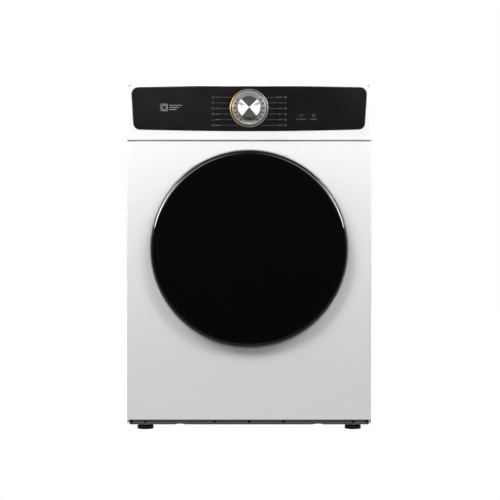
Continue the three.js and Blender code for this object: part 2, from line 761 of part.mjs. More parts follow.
function doorInnerPanel() {
  const outer = RIM_RADIUS - GAP;
  const wall = DOOR_BACK_WALL;
  const inner = PLUG_RADIUS - wall;
  const end = PLUG_DEPTH - PLUG_ROUND;
  const body = turned([
    [0, PLUG_DEPTH - PLUG_DISH],
    ...arc(PLUG_RADIUS - PLUG_ROUND, end, PLUG_ROUND, PLUG_ROUND, 90, 0, 2),
    [PLUG_RADIUS, -DOOR_CLEAR + wall],
    [outer, -DOOR_CLEAR + wall],
    [outer, -DOOR_CLEAR],
    [inner, -DOOR_CLEAR],
    [inner, end],
    [inner - PLUG_ROUND + wall, PLUG_DEPTH - wall],
    [0, PLUG_DEPTH - PLUG_DISH - wall],
  ]);
  return piece("door_inner_panel", CASE_PLASTIC, cut(body, ...hingeArmSlots()));
}

function doorSeal() {
  const front = -DOOR_CLEAR + DOOR_BACK_WALL + 0.3;
  const tip = DISH_DEPTH + 0.7;
  return piece(
    "door_seal",
    RUBBER,
    turned([
      [SEAL_RADIUS - SEAL_WIDTH, front],
      [SEAL_RADIUS, front],
      [SEAL_RADIUS, tip],
      [SEAL_RADIUS - 4, tip],
      [SEAL_RADIUS - SEAL_WIDTH, front + 4],
    ], MEDIUM),
  );
}

function doorHook() {
  const front = -DOOR_CLEAR + DOOR_BACK_WALL + 0.3;
  const x = [-CATCH_X - HOOK.thick / 2, -CATCH_X + HOOK.thick / 2];
  const z = [-HOOK.height / 2, HOOK.height / 2];
  return piece(
    "door_hook",
    BLACK_PLASTIC,
    cut(
      join(
        block([x[0] - 5, x[1] + 5], [front, front + 2], [z[0] - 6, z[1] + 6]),
        block(x, [front + 1, HOOK.reach], z),
      ),
      block([x[0] - 1, x[1] + 1], [front + 6, HOOK.reach - 3], [z[0] + 4, z[1] - 4]),
    ),
  );
}

// The hinge leaf inside the door: a spine in front of the pin, with two pairs of ears.
function hingeLeaf() {
  const spineBack = -HINGE_FORWARD - HINGE_ARM.eye - 3;
  const spine = block([HINGE_X - 22, HINGE_X + 3], [spineBack - 2.5, spineBack], [-44, 44]);
  const ears = [-40, -22, 19, 37].map((z) =>
    block([HINGE_X - 8, HINGE_X + 7], [spineBack - 1, -HINGE_FORWARD + 7], [z, z + 3]),
  );
  const bore = rodZ(HINGE_PIN_RADIUS + 0.3, -50, 50, HINGE_X, -HINGE_FORWARD);
  return piece("hinge_leaf", GALVANISED, cut(join(spine, ...ears), bore));
}

function door() {
  return group(
    0, 0, DOOR_HEIGHT,
    doorRing(),
    doorGlass(),
    doorInnerPanel(),
    doorSeal(),
    doorHook(),
    hingeLeaf(),
    piece("hinge_pin", STAINLESS, rodZ(HINGE_PIN_RADIUS, -42, 42, HINGE_X, -HINGE_FORWARD, 16)),
  );
}

// The fixed half of the hinge: a plate behind the front panel and two arms bent out to the pin.
function hingeBracket() {
  const plateFront = DISH_FLOOR + 0.3;
  const armX = HINGE_X - HINGE_ARM.reach;
  const half = HINGE_ARM.width / 2;
  const plate = block(
    [armX - half, armX - half + HINGE_PLATE.width],
    [plateFront, plateFront + HINGE_PLATE.thick],
    [-HINGE_PLATE.halfHeight, HINGE_PLATE.halfHeight],
  );
  const arms = [-1, 1].map((side) => {
    const low = side * HINGE_ARM.level - HINGE_ARM.thick / 2;
    const level = [low, low + HINGE_ARM.thick];
    return join(
      block([armX - half, armX + half], [-HINGE_FORWARD - half, plateFront + 1], level),
      block([armX, HINGE_X], [-HINGE_FORWARD - half, -HINGE_FORWARD + half], level),
      rodZ(HINGE_ARM.eye, ...level, HINGE_X, -HINGE_FORWARD),
    );
  });
  const bore = rodZ(HINGE_PIN_RADIUS + 0.3, -50, 50, HINGE_X, -HINGE_FORWARD);
  return piece("hinge_bracket", GALVANISED, cut(join(plate, ...arms), bore));
}

function doorCatch() {
  const front = DISH_FLOOR + 0.3;
  const { width, height, depth, wall } = CATCH;
  return piece(
    "door_catch",
    BLACK_PLASTIC,
    cut(
      block(
        [-CATCH_X - width / 2 - wall, -CATCH_X + width / 2 + wall],
        [front, front + depth],
        [-height / 2 - wall, height / 2 + wall],
      ),
      block(
        [-CATCH_X - width / 2, -CATCH_X + width / 2],
        [front - 1, front + depth - wall],
        [-height / 2, height / 2],
      ),
    ),
  );
}

// ---- Drum front: bulkhead, mouth, filter and duct ----

// The bulkhead is placed in the cabinet's frame, because it serves the door, the drum and the fan.
function frontBulkhead() {
  const half = HALF - BULKHEAD_SIDE_GAP;
  const [bottom, top] = [BULKHEAD_BOTTOM, WORKTOP_BOTTOM - BULKHEAD_TOP_GAP];
  const back = BULKHEAD_Y + BULKHEAD_WALL;
  const flange = BULKHEAD_Y + BULKHEAD_FLANGE;
  const pan = cut(
    block([-half, half], [BULKHEAD_Y, flange], [bottom, top]),
    block(
      [-half + BULKHEAD_WALL, half - BULKHEAD_WALL],
      [back, flange + 1],
      [bottom - 1, top - BULKHEAD_WALL],
    ),
  );
  const lipOuter = DRUM_RADIUS - SHEET - DRUM_LIP_CLEAR + 1;
  const lip = ring(lipOuter - BULKHEAD_WALL, lipOuter, back - 0.5, back + DRUM_LIP_REACH, LARGE)
    .translate([0, 0, DRUM_HEIGHT]);
  const pins = rollerPlaces().map(({ x, z }) =>
    join(
      rodY(ROLLER.pin * 2, back - 0.5, ROLLER.y - RUNNING, x, z, 16),
      rodY(ROLLER.pin, back - 0.5, ROLLER.y + ROLLER.width + 5, x, z, 16),
    ),
  );
  const through = [BULKHEAD_Y - 1, back + DRUM_LIP_REACH + 1];
  return piece(
    "front_bulkhead",
    GALVANISED,
    cut(
      join(pan, lip, ...pins),
      rodY(MOUTH_RADIUS + MOUTH_WALL + GAP, ...through, 0, DOOR_HEIGHT, MEDIUM),
      rodY(FAN_EYE_RADIUS + 5, ...through, MOTOR_X, MOTOR_HEIGHT, 32),
    ),
  );
}

function mouthCollar() {
  const outer = MOUTH_RADIUS + MOUTH_WALL;
  const front = DISH_FLOOR + 0.3;
  const back = BULKHEAD_Y - GAP;
  const body = turned([
    [MOUTH_RADIUS, front],
    [MOUTH_RADIUS + MOUTH_FLANGE, front],
    [MOUTH_RADIUS + MOUTH_FLANGE, front + MOUTH_WALL],
    [outer, front + MOUTH_WALL],
    [outer, back - MOUTH_WALL],
    [outer + MOUTH_FLANGE, back - MOUTH_WALL],
    [outer + MOUTH_FLANGE, back],
    [MOUTH_RADIUS, back],
  ], MEDIUM);
  const slot = block(
    [-FILTER.halfWidth - FILTER_CLEAR, FILTER.halfWidth + FILTER_CLEAR],
    [FILTER.y - FILTER_CLEAR, FILTER.y + FILTER.thick + FILTER_CLEAR],
    [-outer - MOUTH_FLANGE, -MOUTH_RADIUS / 2],
  );
  return piece("mouth_collar", CASE_PLASTIC, cut(body, slot));
}

// A flat pocket whose top follows the mouth, with a grip to lift it by.
function lintFilter() {
  const { halfWidth, y, thick, length, wall } = FILTER;
  const bottom = -MOUTH_RADIUS - length;
  const mouth = rodY(MOUTH_RADIUS + 1, y - 20, y + thick + 20, 0, 0, MEDIUM);
  const frame = cut(
    block([-halfWidth, halfWidth], [y, y + thick], [bottom, -MOUTH_RADIUS / 2]),
    block([wall - halfWidth, halfWidth - wall], [y + wall, y + thick - wall], [bottom + wall, 0]),
    mouth,
  );
  const { halfWidth: gripHalf, height, thick: gripThick } = FILTER_GRIP;
  const middle = y + thick / 2;
  const bridge = block([-gripHalf, gripHalf], [y, y + thick], [-MOUTH_RADIUS - 8, -MOUTH_RADIUS - 2.5]);
  const grip = block(
    [-gripHalf, gripHalf],
    [middle - gripThick / 2, middle + gripThick / 2],
    [-MOUTH_RADIUS - 4, -MOUTH_RADIUS - 4 + height],
  );
  return piece("lint_filter", GREY_PLASTIC, join(frame, bridge, grip));
}

// The duct's outline seen from the front: a neck round the filter that widens to the fan's eye.
function ductShape(inset) {
  const neck = FILTER.halfWidth + FILTER_CLEAR + DUCT_WALL - inset;
  const neckBottom = -MOUTH_RADIUS - FILTER.length - 4;
  const top = inset ? 0 : -MOUTH_RADIUS / 2;
  const eye = { x: MOTOR_X, z: MOTOR_HEIGHT - DOOR_HEIGHT, r: FAN_EYE_RADIUS + DUCT_MARGIN - inset };
  const meets = THREE.MathUtils.radToDeg(Math.acos((neck - eye.x) / eye.r));
  return shapeOf([
    [neck, top],
    [-neck, top],
    [-neck, neckBottom],
    ...arc(eye.x, eye.z, eye.r, eye.r, 200, 360 + meets, 12),
  ]);
}

function filterDuct() {
  const front = FILTER.y - FILTER_CLEAR - DUCT_WALL;
  const back = FILTER.y + FILTER.thick + FILTER_CLEAR + DUCT_WALL;
  const eye = rodY(FAN_EYE_RADIUS + 3, back - 4, back + 1, MOTOR_X, MOTOR_HEIGHT - DOOR_HEIGHT, 32);
  const mouth = rodY(MOUTH_RADIUS + MOUTH_WALL + GAP, front - 1, back + 1, 0, 0, MEDIUM);
  return piece(
    "filter_duct",
    GREY_PLASTIC,
    cut(
      plateY(ductShape(0), front, back),
      plateY(ductShape(DUCT_WALL), front + DUCT_WALL, back - DUCT_WALL),
      mouth,
      eye,
    ),
  );
}

function doorway() {
  return group(
    0, 0, DOOR_HEIGHT,
    hingeBracket(),
    doorCatch(),
    mouthCollar(),
    lintFilter(),
    filterDuct(),
  );
}

// ---- Drum, built about its own axis ----

function drumShell() {
  const shell = ring(DRUM_RADIUS - SHEET, DRUM_RADIUS, DRUM_FRONT, DRUM_BACK, DRUM_FACETS);
  return piece("drum_shell", STAINLESS, shell);
}

function drumRearWall() {
  const radius = DRUM_RADIUS - SHEET - 0.7;
  const slots = Array.from({ length: DRUM_SLOTS }, (_, i) =>
    block([-5, 5], [DRUM_WALL_Y - 1, DRUM_WALL_Y + 2], [radius * 0.35, radius * 0.75])
      .rotate([0, (360 * i) / DRUM_SLOTS, 0]),
  );
  return piece("drum_rear_wall", STAINLESS, cut(disc(radius, DRUM_WALL_Y, DRUM_WALL_Y + SHEET), ...slots));
}

// A lifter: a tapering fin along the drum, its foot rounded to the shell.
function lifter(index) {
  const foot = DRUM_RADIUS - SHEET - 0.8;
  const top = foot - LIFTER.height;
  const section = shapeOf([
    [LIFTER.base / 2, foot],
    [-LIFTER.base / 2, foot],
    [-LIFTER.base / 2, foot - 8],
    [-LIFTER.crest / 2, top + 4],
    [-LIFTER.crest / 4, top],
    [LIFTER.crest / 4, top],
    [LIFTER.crest / 2, top + 4],
    [LIFTER.base / 2, foot - 8],
  ].reverse());
  const body = plateY(section, DRUM_FRONT + LIFTER.inset, DRUM_WALL_Y - LIFTER.inset)
    .intersect(rodY(foot, DRUM_FRONT, DRUM_BACK, 0, 0, LARGE));
  const mesh = piece(`drum_lifter_${index + 1}`, GREY_PLASTIC, body);
  mesh.rotation.y = THREE.MathUtils.degToRad(LIFTER_TURN + (360 * index) / LIFTER.count);
  return mesh;
}

function drumShaft() {
  const flange = DRUM_WALL_Y + SHEET + 0.3;
  return piece(
    "drum_shaft",
    STAINLESS,
    turned(
      [
        [0, flange],
        [SHAFT_FLANGE_RADIUS, flange],
        [SHAFT_FLANGE_RADIUS, flange + 4],
        [SHAFT_RADIUS, flange + 8],
        [SHAFT_RADIUS, CABINET_DEPTH + 12],
        [0, CABINET_DEPTH + 12],
      ],
      24,
    ),
  );
}

// Bearing, felts and air ring, which stay still round the drum.
function drumSupports() {
  const bushInner = SHAFT_RADIUS + 0.3;
  const bushOuter = SHAFT_RADIUS + BUSH_WALL - 0.5;
  const bushFront = DRUM_WALL_Y + SHEET + 10;
  const housing = turned(
    [
      [bushOuter + 0.3, bushFront],
      [bushOuter + 5, bushFront],
      [bushOuter + 5, REAR_INSIDE - 3],
      [bushOuter + 24, REAR_INSIDE - 3],
      [bushOuter + 24, REAR_INSIDE - 0.3],
      [bushOuter + 0.3, REAR_INSIDE - 0.3],
    ],
    24,
  );
  const lipOuter = DRUM_RADIUS - SHEET - DRUM_LIP_CLEAR + 1;
  const lipFront = BULKHEAD_Y + BULKHEAD_WALL + GAP;
  const feltOuter = DRUM_RADIUS - SHEET - RUNNING;
  const ringFront = DRUM_BACK + 4;
  const airRing = turned([
    [AIR_RING_RADIUS - 1, ringFront],
    [AIR_RING_RADIUS, ringFront],
    [AIR_RING_RADIUS, REAR_INSIDE - 1.5],
    [AIR_RING_RADIUS + 9, REAR_INSIDE - 1.5],
    [AIR_RING_RADIUS + 9, REAR_INSIDE - 0.3],
    [AIR_RING_RADIUS - 1, REAR_INSIDE - 0.3],
  ], MEDIUM);
  return [
    piece("bearing_bush", BRONZE, ring(bushInner, bushOuter, bushFront, REAR_INSIDE - 1, 24)),
    piece("bearing_housing", GALVANISED, housing),
    piece(
      "front_felt",
      FELT,
      ring(lipOuter + GAP, feltOuter, Math.max(lipFront, DRUM_FRONT), lipFront + DRUM_LIP_REACH - 2),
    ),
    piece(
      "rear_felt",
      FELT,
      ring(
        AIR_RING_RADIUS - 6,
        AIR_RING_RADIUS + 3,
        DRUM_WALL_Y + SHEET + RUNNING,
        ringFront - 0.3,
        MEDIUM,
      ),
    ),
    piece("air_ring", GALVANISED, airRing),
  ];
}

function drum() {
  return group(
    0, 0, DRUM_HEIGHT,
    drumShell(),
    drumRearWall(),
    ...Array.from({ length: LIFTER.count }, (_, i) => lifter(i)),
    drumShaft(),
    ...drumSupports(),
  );
}

function rollerPlaces() {
  const turn = THREE.MathUtils.degToRad(ROLLER.turn);
  return [["roller_left", -1], ["roller_right", 1]].map(([name, side]) => ({
    name,
    x: side * ROLLER_REACH * Math.sin(turn),
    z: DRUM_HEIGHT - ROLLER_REACH * Math.cos(turn),
  }));
}

function roller({ name, x, z }) {
  const body = ring(ROLLER.pin + 0.3, ROLLER.radius, ROLLER.y, ROLLER.y + ROLLER.width, SMALL);
  const mesh = piece(name, RUBBER, body);
  mesh.position.set(x, 0, z);
  return mesh;
}

// ---- Belt drive ----

// The belt runs round the drum and the motor pulley, and the idler presses it in from outside.
// A positive radius turns left along the run and a negative one turns right.
function beltOutline(offset) {
  const wheels = [
    { x: 0, z: DRUM_HEIGHT, r: BELT_RADIUS, step: 5.6 },
    { x: IDLER.x, z: IDLER.z, r: -(IDLER.radius + RUNNING + BELT_THICK / 2), step: 15 },
    { x: MOTOR_X, z: MOTOR_HEIGHT, r: PULLEY_RADIUS + RUNNING + BELT_THICK / 2, step: 20 },
  ].map((wheel) => ({ ...wheel, r: wheel.r + offset }));
  const heading = wheels.map((from, i) => {
    const to = wheels[(i + 1) % wheels.length];
    const [dx, dz] = [to.x - from.x, to.z - from.z];
    return Math.atan2(dz, dx) - Math.asin((to.r - from.r) / Math.hypot(dx, dz));
  });
  return wheels.flatMap((wheel, i) => {
    const entering = heading[(i + wheels.length - 1) % wheels.length];
    const full = 2 * Math.PI;
    const turn = (((heading[i] - entering) % full) + full) % full;
    const swept = wheel.r > 0 ? turn : turn - full;
    const steps = Math.ceil(Math.abs(THREE.MathUtils.radToDeg(swept)) / wheel.step);
    return Array.from({ length: steps + 1 }, (_, k) => {
      const angle = entering + (swept * k) / steps;
      return [wheel.x + wheel.r * Math.sin(angle), wheel.z - wheel.r * Math.cos(angle)];
    });
  });
}

function belt() {
  const y = [BELT_Y - BELT_WIDTH / 2, BELT_Y + BELT_WIDTH / 2];
  const outer = plateY(shapeOf(beltOutline(BELT_THICK / 2)), ...y);
  const inner = plateY(shapeOf(beltOutline(-BELT_THICK / 2)), y[0] - 1, y[1] + 1);
  return piece("drum_belt", RUBBER, cut(outer, inner));
}

// The motor, built about its own shaft. Its can is open along the shaft.
function motor() {
  const [front, back] = [MOTOR_Y, MOTOR_Y + MOTOR_LENGTH];
  const bore = MOTOR_SHAFT_RADIUS + RUNNING;
  const stator = ROTOR_RADIUS + 1.2;
  const can = turned(
    [
      [bore, front],
      [MOTOR_RADIUS - 8, front],
      [MOTOR_RADIUS, front + 10],
      [MOTOR_RADIUS, back - 10],
      [MOTOR_RADIUS - 8, back],
      [bore, back],
      [bore, back - 6],
      [MOTOR_RADIUS - 12, back - 6],
      [MOTOR_RADIUS - 12, back - 26],
      [stator, back - 26],
      [stator, front + 26],
      [MOTOR_RADIUS - 12, front + 26],
      [MOTOR_RADIUS - 12, front + 6],
      [bore, front + 6],
    ],
    24,
  );
  const half = BELT_WIDTH / 2 + 1;
  const shaft = turned(
    [
      [0, FAN_CASE_Y + 12],
      [MOTOR_SHAFT_RADIUS, FAN_CASE_Y + 12],
      [MOTOR_SHAFT_RADIUS, front + 28],
      [ROTOR_RADIUS, front + 28],
      [ROTOR_RADIUS, back - 28],
      [MOTOR_SHAFT_RADIUS, back - 28],
      [MOTOR_SHAFT_RADIUS, BELT_Y - half - 2],
      [PULLEY_RADIUS + 3, BELT_Y - half - 2],
      [PULLEY_RADIUS + 3, BELT_Y - half],
      [PULLEY_RADIUS, BELT_Y - half],
      [PULLEY_RADIUS, BELT_Y + half],
      [PULLEY_RADIUS + 3, BELT_Y + half],
      [PULLEY_RADIUS + 3, BELT_Y + half + 2],
      [0, BELT_Y + half + 2],
    ],
    SMALL,
  );
  return [piece("motor_housing", GALVANISED, can), piece("motor_shaft", STAINLESS, shaft)];
}

function motorBracket() {
  const floor = BASE_FLOOR_TOP + 0.3 - MOTOR_HEIGHT;
  const ends = [MOTOR_Y + 14, MOTOR_Y + MOTOR_LENGTH - 19];
  const cradles = ends.map((y) => block([-50, 50], [y, y + 5], [floor, -20]));
  const foot = block([-50, 50], [ends[0], ends[1] + 5], [floor, floor + 3]);
  const space = rodY(MOTOR_RADIUS + GAP, MOTOR_Y - 1, MOTOR_Y + MOTOR_LENGTH + 1, 0, 0, 32);
  return piece("motor_bracket", GALVANISED, cut(join(foot, ...cradles), space));
}

// ---- Fan ----

function fanWheel() {
  const front = FAN_CASE_Y + 6;
  const back = FAN_CASE_Y + FAN_CASE_DEPTH - 10;
  const bore = MOTOR_SHAFT_RADIUS + 0.3;
  const hub = turned(
    [
      [bore, FAN_CASE_Y + 14],
      [bore + 7, FAN_CASE_Y + 14],
      [bore + 9, back - 2],
      [FAN_WHEEL_RADIUS, back - 2],
      [FAN_WHEEL_RADIUS, back],
      [bore, back],
    ],
    24,
  );
  const blades = Array.from({ length: FAN_BLADES }, (_, i) =>
    block([-1, 1], [front, back - 1], [FAN_EYE_RADIUS + 3, FAN_WHEEL_RADIUS - 1])
      .rotate([0, (360 * i) / FAN_BLADES, 0]),
  );
  return piece("fan_wheel", GREY_PLASTIC, join(hub, ...blades));
}

// The fan case: a round chamber with an eye in front and an outlet to the left.
function fanCase() {
  const y = [FAN_CASE_Y, FAN_CASE_Y + FAN_CASE_DEPTH];
  const chamber = (inset) =>
    join(
      rodY(FAN_CASE_RADIUS - inset, y[0] + inset, y[1] - inset, 0, 0, MEDIUM),
      block(
        [-FAN_OUTLET_REACH - (inset ? 1 : 0), 0],
        [y[0] + inset, y[1] - inset],
        [-FAN_CASE_RADIUS + inset, FAN_OUTLET_HEIGHT - FAN_CASE_RADIUS - inset],
      ),
    );
  const collar = ring(FAN_EYE_RADIUS, FAN_EYE_RADIUS + DUCT_WALL, BULKHEAD_Y - 4, y[0] + 1, 24);
  const eye = rodY(FAN_EYE_RADIUS, BULKHEAD_Y - 5, y[0] + DUCT_WALL + 1, 0, 0, 24);
  const shaftHole = rodY(MOTOR_SHAFT_RADIUS + 3, y[1] - 4, y[1] + 1);
  return piece(
    "fan_housing",
    GREY_PLASTIC,
    cut(join(chamber(0), collar), chamber(DUCT_WALL), eye, shaftHole),
  );
}

function drive() {
  return group(
    MOTOR_X, 0, MOTOR_HEIGHT,
    ...motor(),
    motorBracket(),
    fanWheel(),
    fanCase(),
  );
}

// The belt tensioner: a post on the base, a sprung arm and the pulley it carries.
function tensioner() {
  const { pivotX, pivotZ, pin, radius, width } = IDLER;
  const armY = BELT_Y - width / 2 - 5;
  const postY = armY - 7;
  const floor = BASE_FLOOR_TOP + 0.3;
  const post = join(
    block([pivotX - 14, pivotX + 14], [postY, postY + 3], [floor, pivotZ + 12]),
    block([pivotX - 14, pivotX + 14], [postY - 24, postY + 3], [floor, floor + 3]),
    rodY(pin, postY, armY + 7, pivotX, pivotZ, 16),
  );
  const [dx, dz] = [IDLER.x - pivotX, IDLER.z - pivotZ];
  const length = Math.hypot(dx, dz);
  const bar = block([0, length], [armY, armY + 3], [-8, 8])
    .rotate([0, -THREE.MathUtils.radToDeg(Math.atan2(dz, dx)), 0])
    .translate([pivotX, 0, pivotZ]);
  const arm = cut(
    join(
      bar,
      rodY(11, armY, armY + 3, pivotX, pivotZ),
      rodY(8, armY, armY + 3, IDLER.x, IDLER.z),
      rodY(pin, armY, BELT_Y + width / 2 + 3, IDLER.x, IDLER.z, 16),
    ),
    rodY(pin + 0.3, armY - 1, armY + 4, pivotX, pivotZ, 16),
  );
  const pulley = ring(pin + 0.3, radius, BELT_Y - width / 2, BELT_Y + width / 2, SMALL);
  const pulleyMesh = piece("idler_pulley", BLACK_PLASTIC, pulley);
  pulleyMesh.position.set(IDLER.x, 0, IDLER.z);
  const spring = ring(pin + 1, pin + 4, postY + 3.4, armY - 0.4, SMALL);
  const springMesh = piece("idler_spring", STAINLESS, spring);
  springMesh.position.set(pivotX, 0, pivotZ);
  return [
    piece("idler_bracket", GALVANISED, post),
    piece("idler_arm", GALVANISED, arm),
    pulleyMesh,
    springMesh,
  ];
}

// ---- Exhaust ----

function exhaustDuct() {
  const sleeveEnd = MOTOR_X - FAN_OUTLET_REACH + 5;
  const low = MOTOR_HEIGHT - FAN_CASE_RADIUS;
  const clear = DUCT_WALL + 0.5;
  const left = VENT_X - EXHAUST_SIDE / 2;
  const right = VENT_X + EXHAUST_SIDE / 2;
  const back = REAR_INSIDE - 8;
  const passage = (inset) => {
    const out = clear - inset;
    return join(
      block(
        [left + inset, sleeveEnd + (inset ? 1 : 0)],
        [FAN_CASE_Y - out, FAN_CASE_Y + FAN_CASE_DEPTH + out],
        [low - out, low + FAN_OUTLET_HEIGHT + out],
      ),
      block(
        [left + inset, right - inset],
        [FAN_CASE_Y - out, back - inset],
        [low - out, VENT.z + EXHAUST_SIDE / 2 - inset],
      ),
    );
  };
  const outlet = rodY(VENT.radius - VENT.wall - 1, back - 5, back + 1, VENT_X, VENT.z, 32);
  return piece("exhaust_duct", GREY_PLASTIC, cut(passage(0), passage(DUCT_WALL), outlet));
}

function ventCollar() {
  const { radius, wall, flange, reach, z } = VENT;
  const face = CABINET_DEPTH + 0.3;
  const body = turned(
    [
      [radius - wall, REAR_INSIDE - 7],
      [radius, REAR_INSIDE - 7],
      [radius, face],
      [flange, face],
      [flange, face + 3],
      [radius, face + 3],
      [radius, CABINET_DEPTH + reach],
      [radius - wall, CABINET_DEPTH + reach],
    ],
    MEDIUM,
  );
  const mesh = piece("vent_collar", WHITE_PLASTIC, body);
  mesh.position.set(VENT_X, 0, z);
  return mesh;
}

// ---- Heater, behind the rear panel and placed from the drum's axis ----

function heaterCover() {
  const face = CABINET_DEPTH + 0.3;
  const back = CABINET_DEPTH + REAR_COVER_DEPTH;
  const { left, right, drop } = HEATER_CHANNEL;
  const space = (inset, from, to) =>
    join(
      rodY(COVER_RADIUS - inset, from, to, 0, 0, LARGE),
      block([left + inset, right - inset], [from, to], [-drop + inset, 0]),
    );
  const flange = space(-COVER_FLANGE, face, face + COVER_WALL);
  const intake = Array.from({ length: 7 }, (_, i) => {
    const x = left + 14 + i * 16;
    return block([x, x + 8], [face + 8, back - 8], [-drop - 2, -drop + 3]);
  });
  return piece(
    "heater_cover",
    GALVANISED,
    cut(join(space(0, face, back), flange), space(COVER_WALL, face - 1, back - COVER_WALL), ...intake),
  );
}

// A sheathed rod bent into parallel passes across the hot air channel.
function heatingElement() {
  const { left, right, drop } = HEATER_CHANNEL;
  const [x0, x1] = [left + 32, right - 32];
  const bend = 18;
  const start = -drop + 60;
  const path = new THREE.CurvePath();
  const middle = CABINET_DEPTH + REAR_COVER_DEPTH / 2;
  const at = (x, z) => new THREE.Vector3(x, middle, z);
  for (let i = 0; i < HEATER_PASSES; i += 1) {
    const z = start + i * 2 * bend;
    const [from, to] = i % 2 ? [x1, x0] : [x0, x1];
    path.add(new THREE.LineCurve3(at(from, z), at(to, z)));
    if (i === HEATER_PASSES - 1) break;
    const out = to + Math.sign(to - from) * bend;
    path.add(new THREE.QuadraticBezierCurve3(at(to, z), at(out, z), at(out, z + bend)));
    path.add(new THREE.QuadraticBezierCurve3(at(out, z + bend), at(out, z + 2 * bend), at(to, z + 2 * bend)));
  }
  const section = new THREE.Shape();
  section.absarc(0, 0, HEATER_ROD_RADIUS, 0, 2 * Math.PI);
  const rod = new THREE.ExtrudeGeometry(section, { steps: 48, curveSegments: 3, extrudePath: path });
  return piece("heating_element", STAINLESS, solid(rod));
}

function heater() {
  return group(0, 0, DRUM_HEIGHT, heaterCover(), heatingElement());
}

// ---- The dryer ----

const dryer = group(
  0, -MIDDLE_Y, 0,
  cabinet(),
  controlPanel(),
  fasciaWindow(),
  dial(),
  frontBulkhead(),
  doorway(),
  door(),
  drum(),
  ...rollerPlaces().map(roller),
  belt(),
  drive(),
  ...tensioner(),
  exhaustDuct(),
  ventCollar(),
  heater(),
);

export default dryer;
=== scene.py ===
"""A vented tumble dryer: the finished surfaces round the packed frame, laid out as an add-on.

Every piece is modelled in the frame's own place, in metres, with +Z up and -Y towards the door.
"""

import json
import math
import random

import bmesh
import bpy
from mathutils import Matrix, Vector

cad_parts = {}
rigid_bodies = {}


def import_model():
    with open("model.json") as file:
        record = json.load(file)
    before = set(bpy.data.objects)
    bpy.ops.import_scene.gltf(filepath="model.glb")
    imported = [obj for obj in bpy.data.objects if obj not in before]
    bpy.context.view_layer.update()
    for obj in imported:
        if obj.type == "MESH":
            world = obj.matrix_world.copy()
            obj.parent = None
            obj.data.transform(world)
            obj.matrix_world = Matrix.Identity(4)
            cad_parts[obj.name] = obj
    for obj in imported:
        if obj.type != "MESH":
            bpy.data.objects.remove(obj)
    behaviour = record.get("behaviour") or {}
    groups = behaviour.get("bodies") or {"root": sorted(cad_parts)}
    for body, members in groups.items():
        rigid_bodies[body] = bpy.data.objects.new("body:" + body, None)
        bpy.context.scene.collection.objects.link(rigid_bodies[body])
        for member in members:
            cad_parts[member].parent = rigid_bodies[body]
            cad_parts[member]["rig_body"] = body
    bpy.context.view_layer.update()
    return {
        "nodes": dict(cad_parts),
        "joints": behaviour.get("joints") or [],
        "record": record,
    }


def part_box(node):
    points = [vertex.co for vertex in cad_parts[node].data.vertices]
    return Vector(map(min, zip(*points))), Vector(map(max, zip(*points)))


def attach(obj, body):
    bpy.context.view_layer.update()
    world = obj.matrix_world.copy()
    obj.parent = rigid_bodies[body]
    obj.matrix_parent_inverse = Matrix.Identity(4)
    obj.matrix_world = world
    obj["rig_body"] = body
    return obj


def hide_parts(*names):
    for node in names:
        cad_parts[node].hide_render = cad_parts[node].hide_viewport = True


bl_info = {
    "name": "Tumble dryer",
    "version": (1, 0, 0),
    "blender": (4, 5, 0),
    "location": "3D View > Sidebar > Dryer",
    "description": "Builds the finished surfaces of a vented tumble dryer round its frame",
    "category": "Object",
}

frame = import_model()

MM = 0.001
FINE, ROUND, SMALL = 192, 96, 32  # facets round a large, a medium and a small circle
SHEET = 0.8 * MM
SIDE_STEPS = 24  # points along a side of an outline


def low(node):
    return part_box(node)[0]


def high(node):
    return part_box(node)[1]


def middle(node):
    return (low(node) + high(node)) / 2


def half_width(node):
    return (high(node).x - low(node).x) / 2


DOOR = middle("door_ring")
DIAL = middle("dial_bezel")
DRUM = middle("drum_shell")
FRONT = low("front_panel").y
DOOR_RADIUS = half_width("door_ring")
GLASS_RADIUS = half_width("door_glass")
DRUM_RADIUS = half_width("drum_shell")
KNOB_RADIUS = half_width("program_knob")
HINGE = next(Vector(j["pos_m"]) for j in frame["joints"] if j["name"] == "door_hinge")


# ---- Sizes and colours that a user would change ----


def number(name, description, default, **kind):
    return bpy.props.FloatProperty(name=name, description=description, default=default, min=0.0, **kind)


def length(name, description, default):
    return number(name, description, default, subtype="DISTANCE", unit="LENGTH")


def colour(name, description, default):
    return bpy.props.FloatVectorProperty(
        name=name, description=description, default=default, min=0.0, max=1.0, size=3, subtype="COLOR"
    )


class DryerCabinetSettings(bpy.types.PropertyGroup):
    """Sizes and colours of the cabinet"""

    enamel: colour("Enamel", "Paint of the front and the sides", (0.86, 0.862, 0.86))
    moulding: colour("Moulding", "White plastic of the worktop and the control panel", (0.82, 0.822, 0.82))
    skirt: colour("Skirt", "Paint of the base tray", (0.085, 0.08, 0.074))
    edge: length("Edge radius", "Rounding of the front panel's upright edges", 4 * MM)
    dish_margin: length("Recess margin", "Recess in the front panel round the door", 6 * MM)
    dish_roll: length("Recess roll", "Radius that the recess is rolled over", 3.2 * MM)
    worktop_corner: length("Worktop corner", "Rounding of the worktop's upper corners", 14 * MM)
    screw_head: length("Screw head", "Radius of the screw heads", 4.2 * MM)


class DryerControlSettings(bpy.types.PropertyGroup):
    """Sizes and colours of the control panel"""

    window: colour("Window", "Black of the control window", (0.004, 0.0036, 0.0042))
    ink: colour("Ink", "Grey of the printed scale", (0.15, 0.15, 0.155))
    mark: colour("Mark", "Pale grey of the printed symbol", (0.42, 0.42, 0.43))
    corner: length("Corner", "Rounding of the panel's upper corners", 18 * MM)
    window_corner: length("Window corner", "Rounding of the window's corners", 16 * MM)
    top_bow: length("Top bow", "How far the window's top edge arches", 2.2 * MM)
    bottom_bow: length("Bottom bow", "How far the window's lower edge sags", 4 * MM)
    row_pitch: length("Row pitch", "Distance between two rows of the scale", 13.58 * MM)
    stroke: length("Stroke", "Width of a printed line", 0.6 * MM)


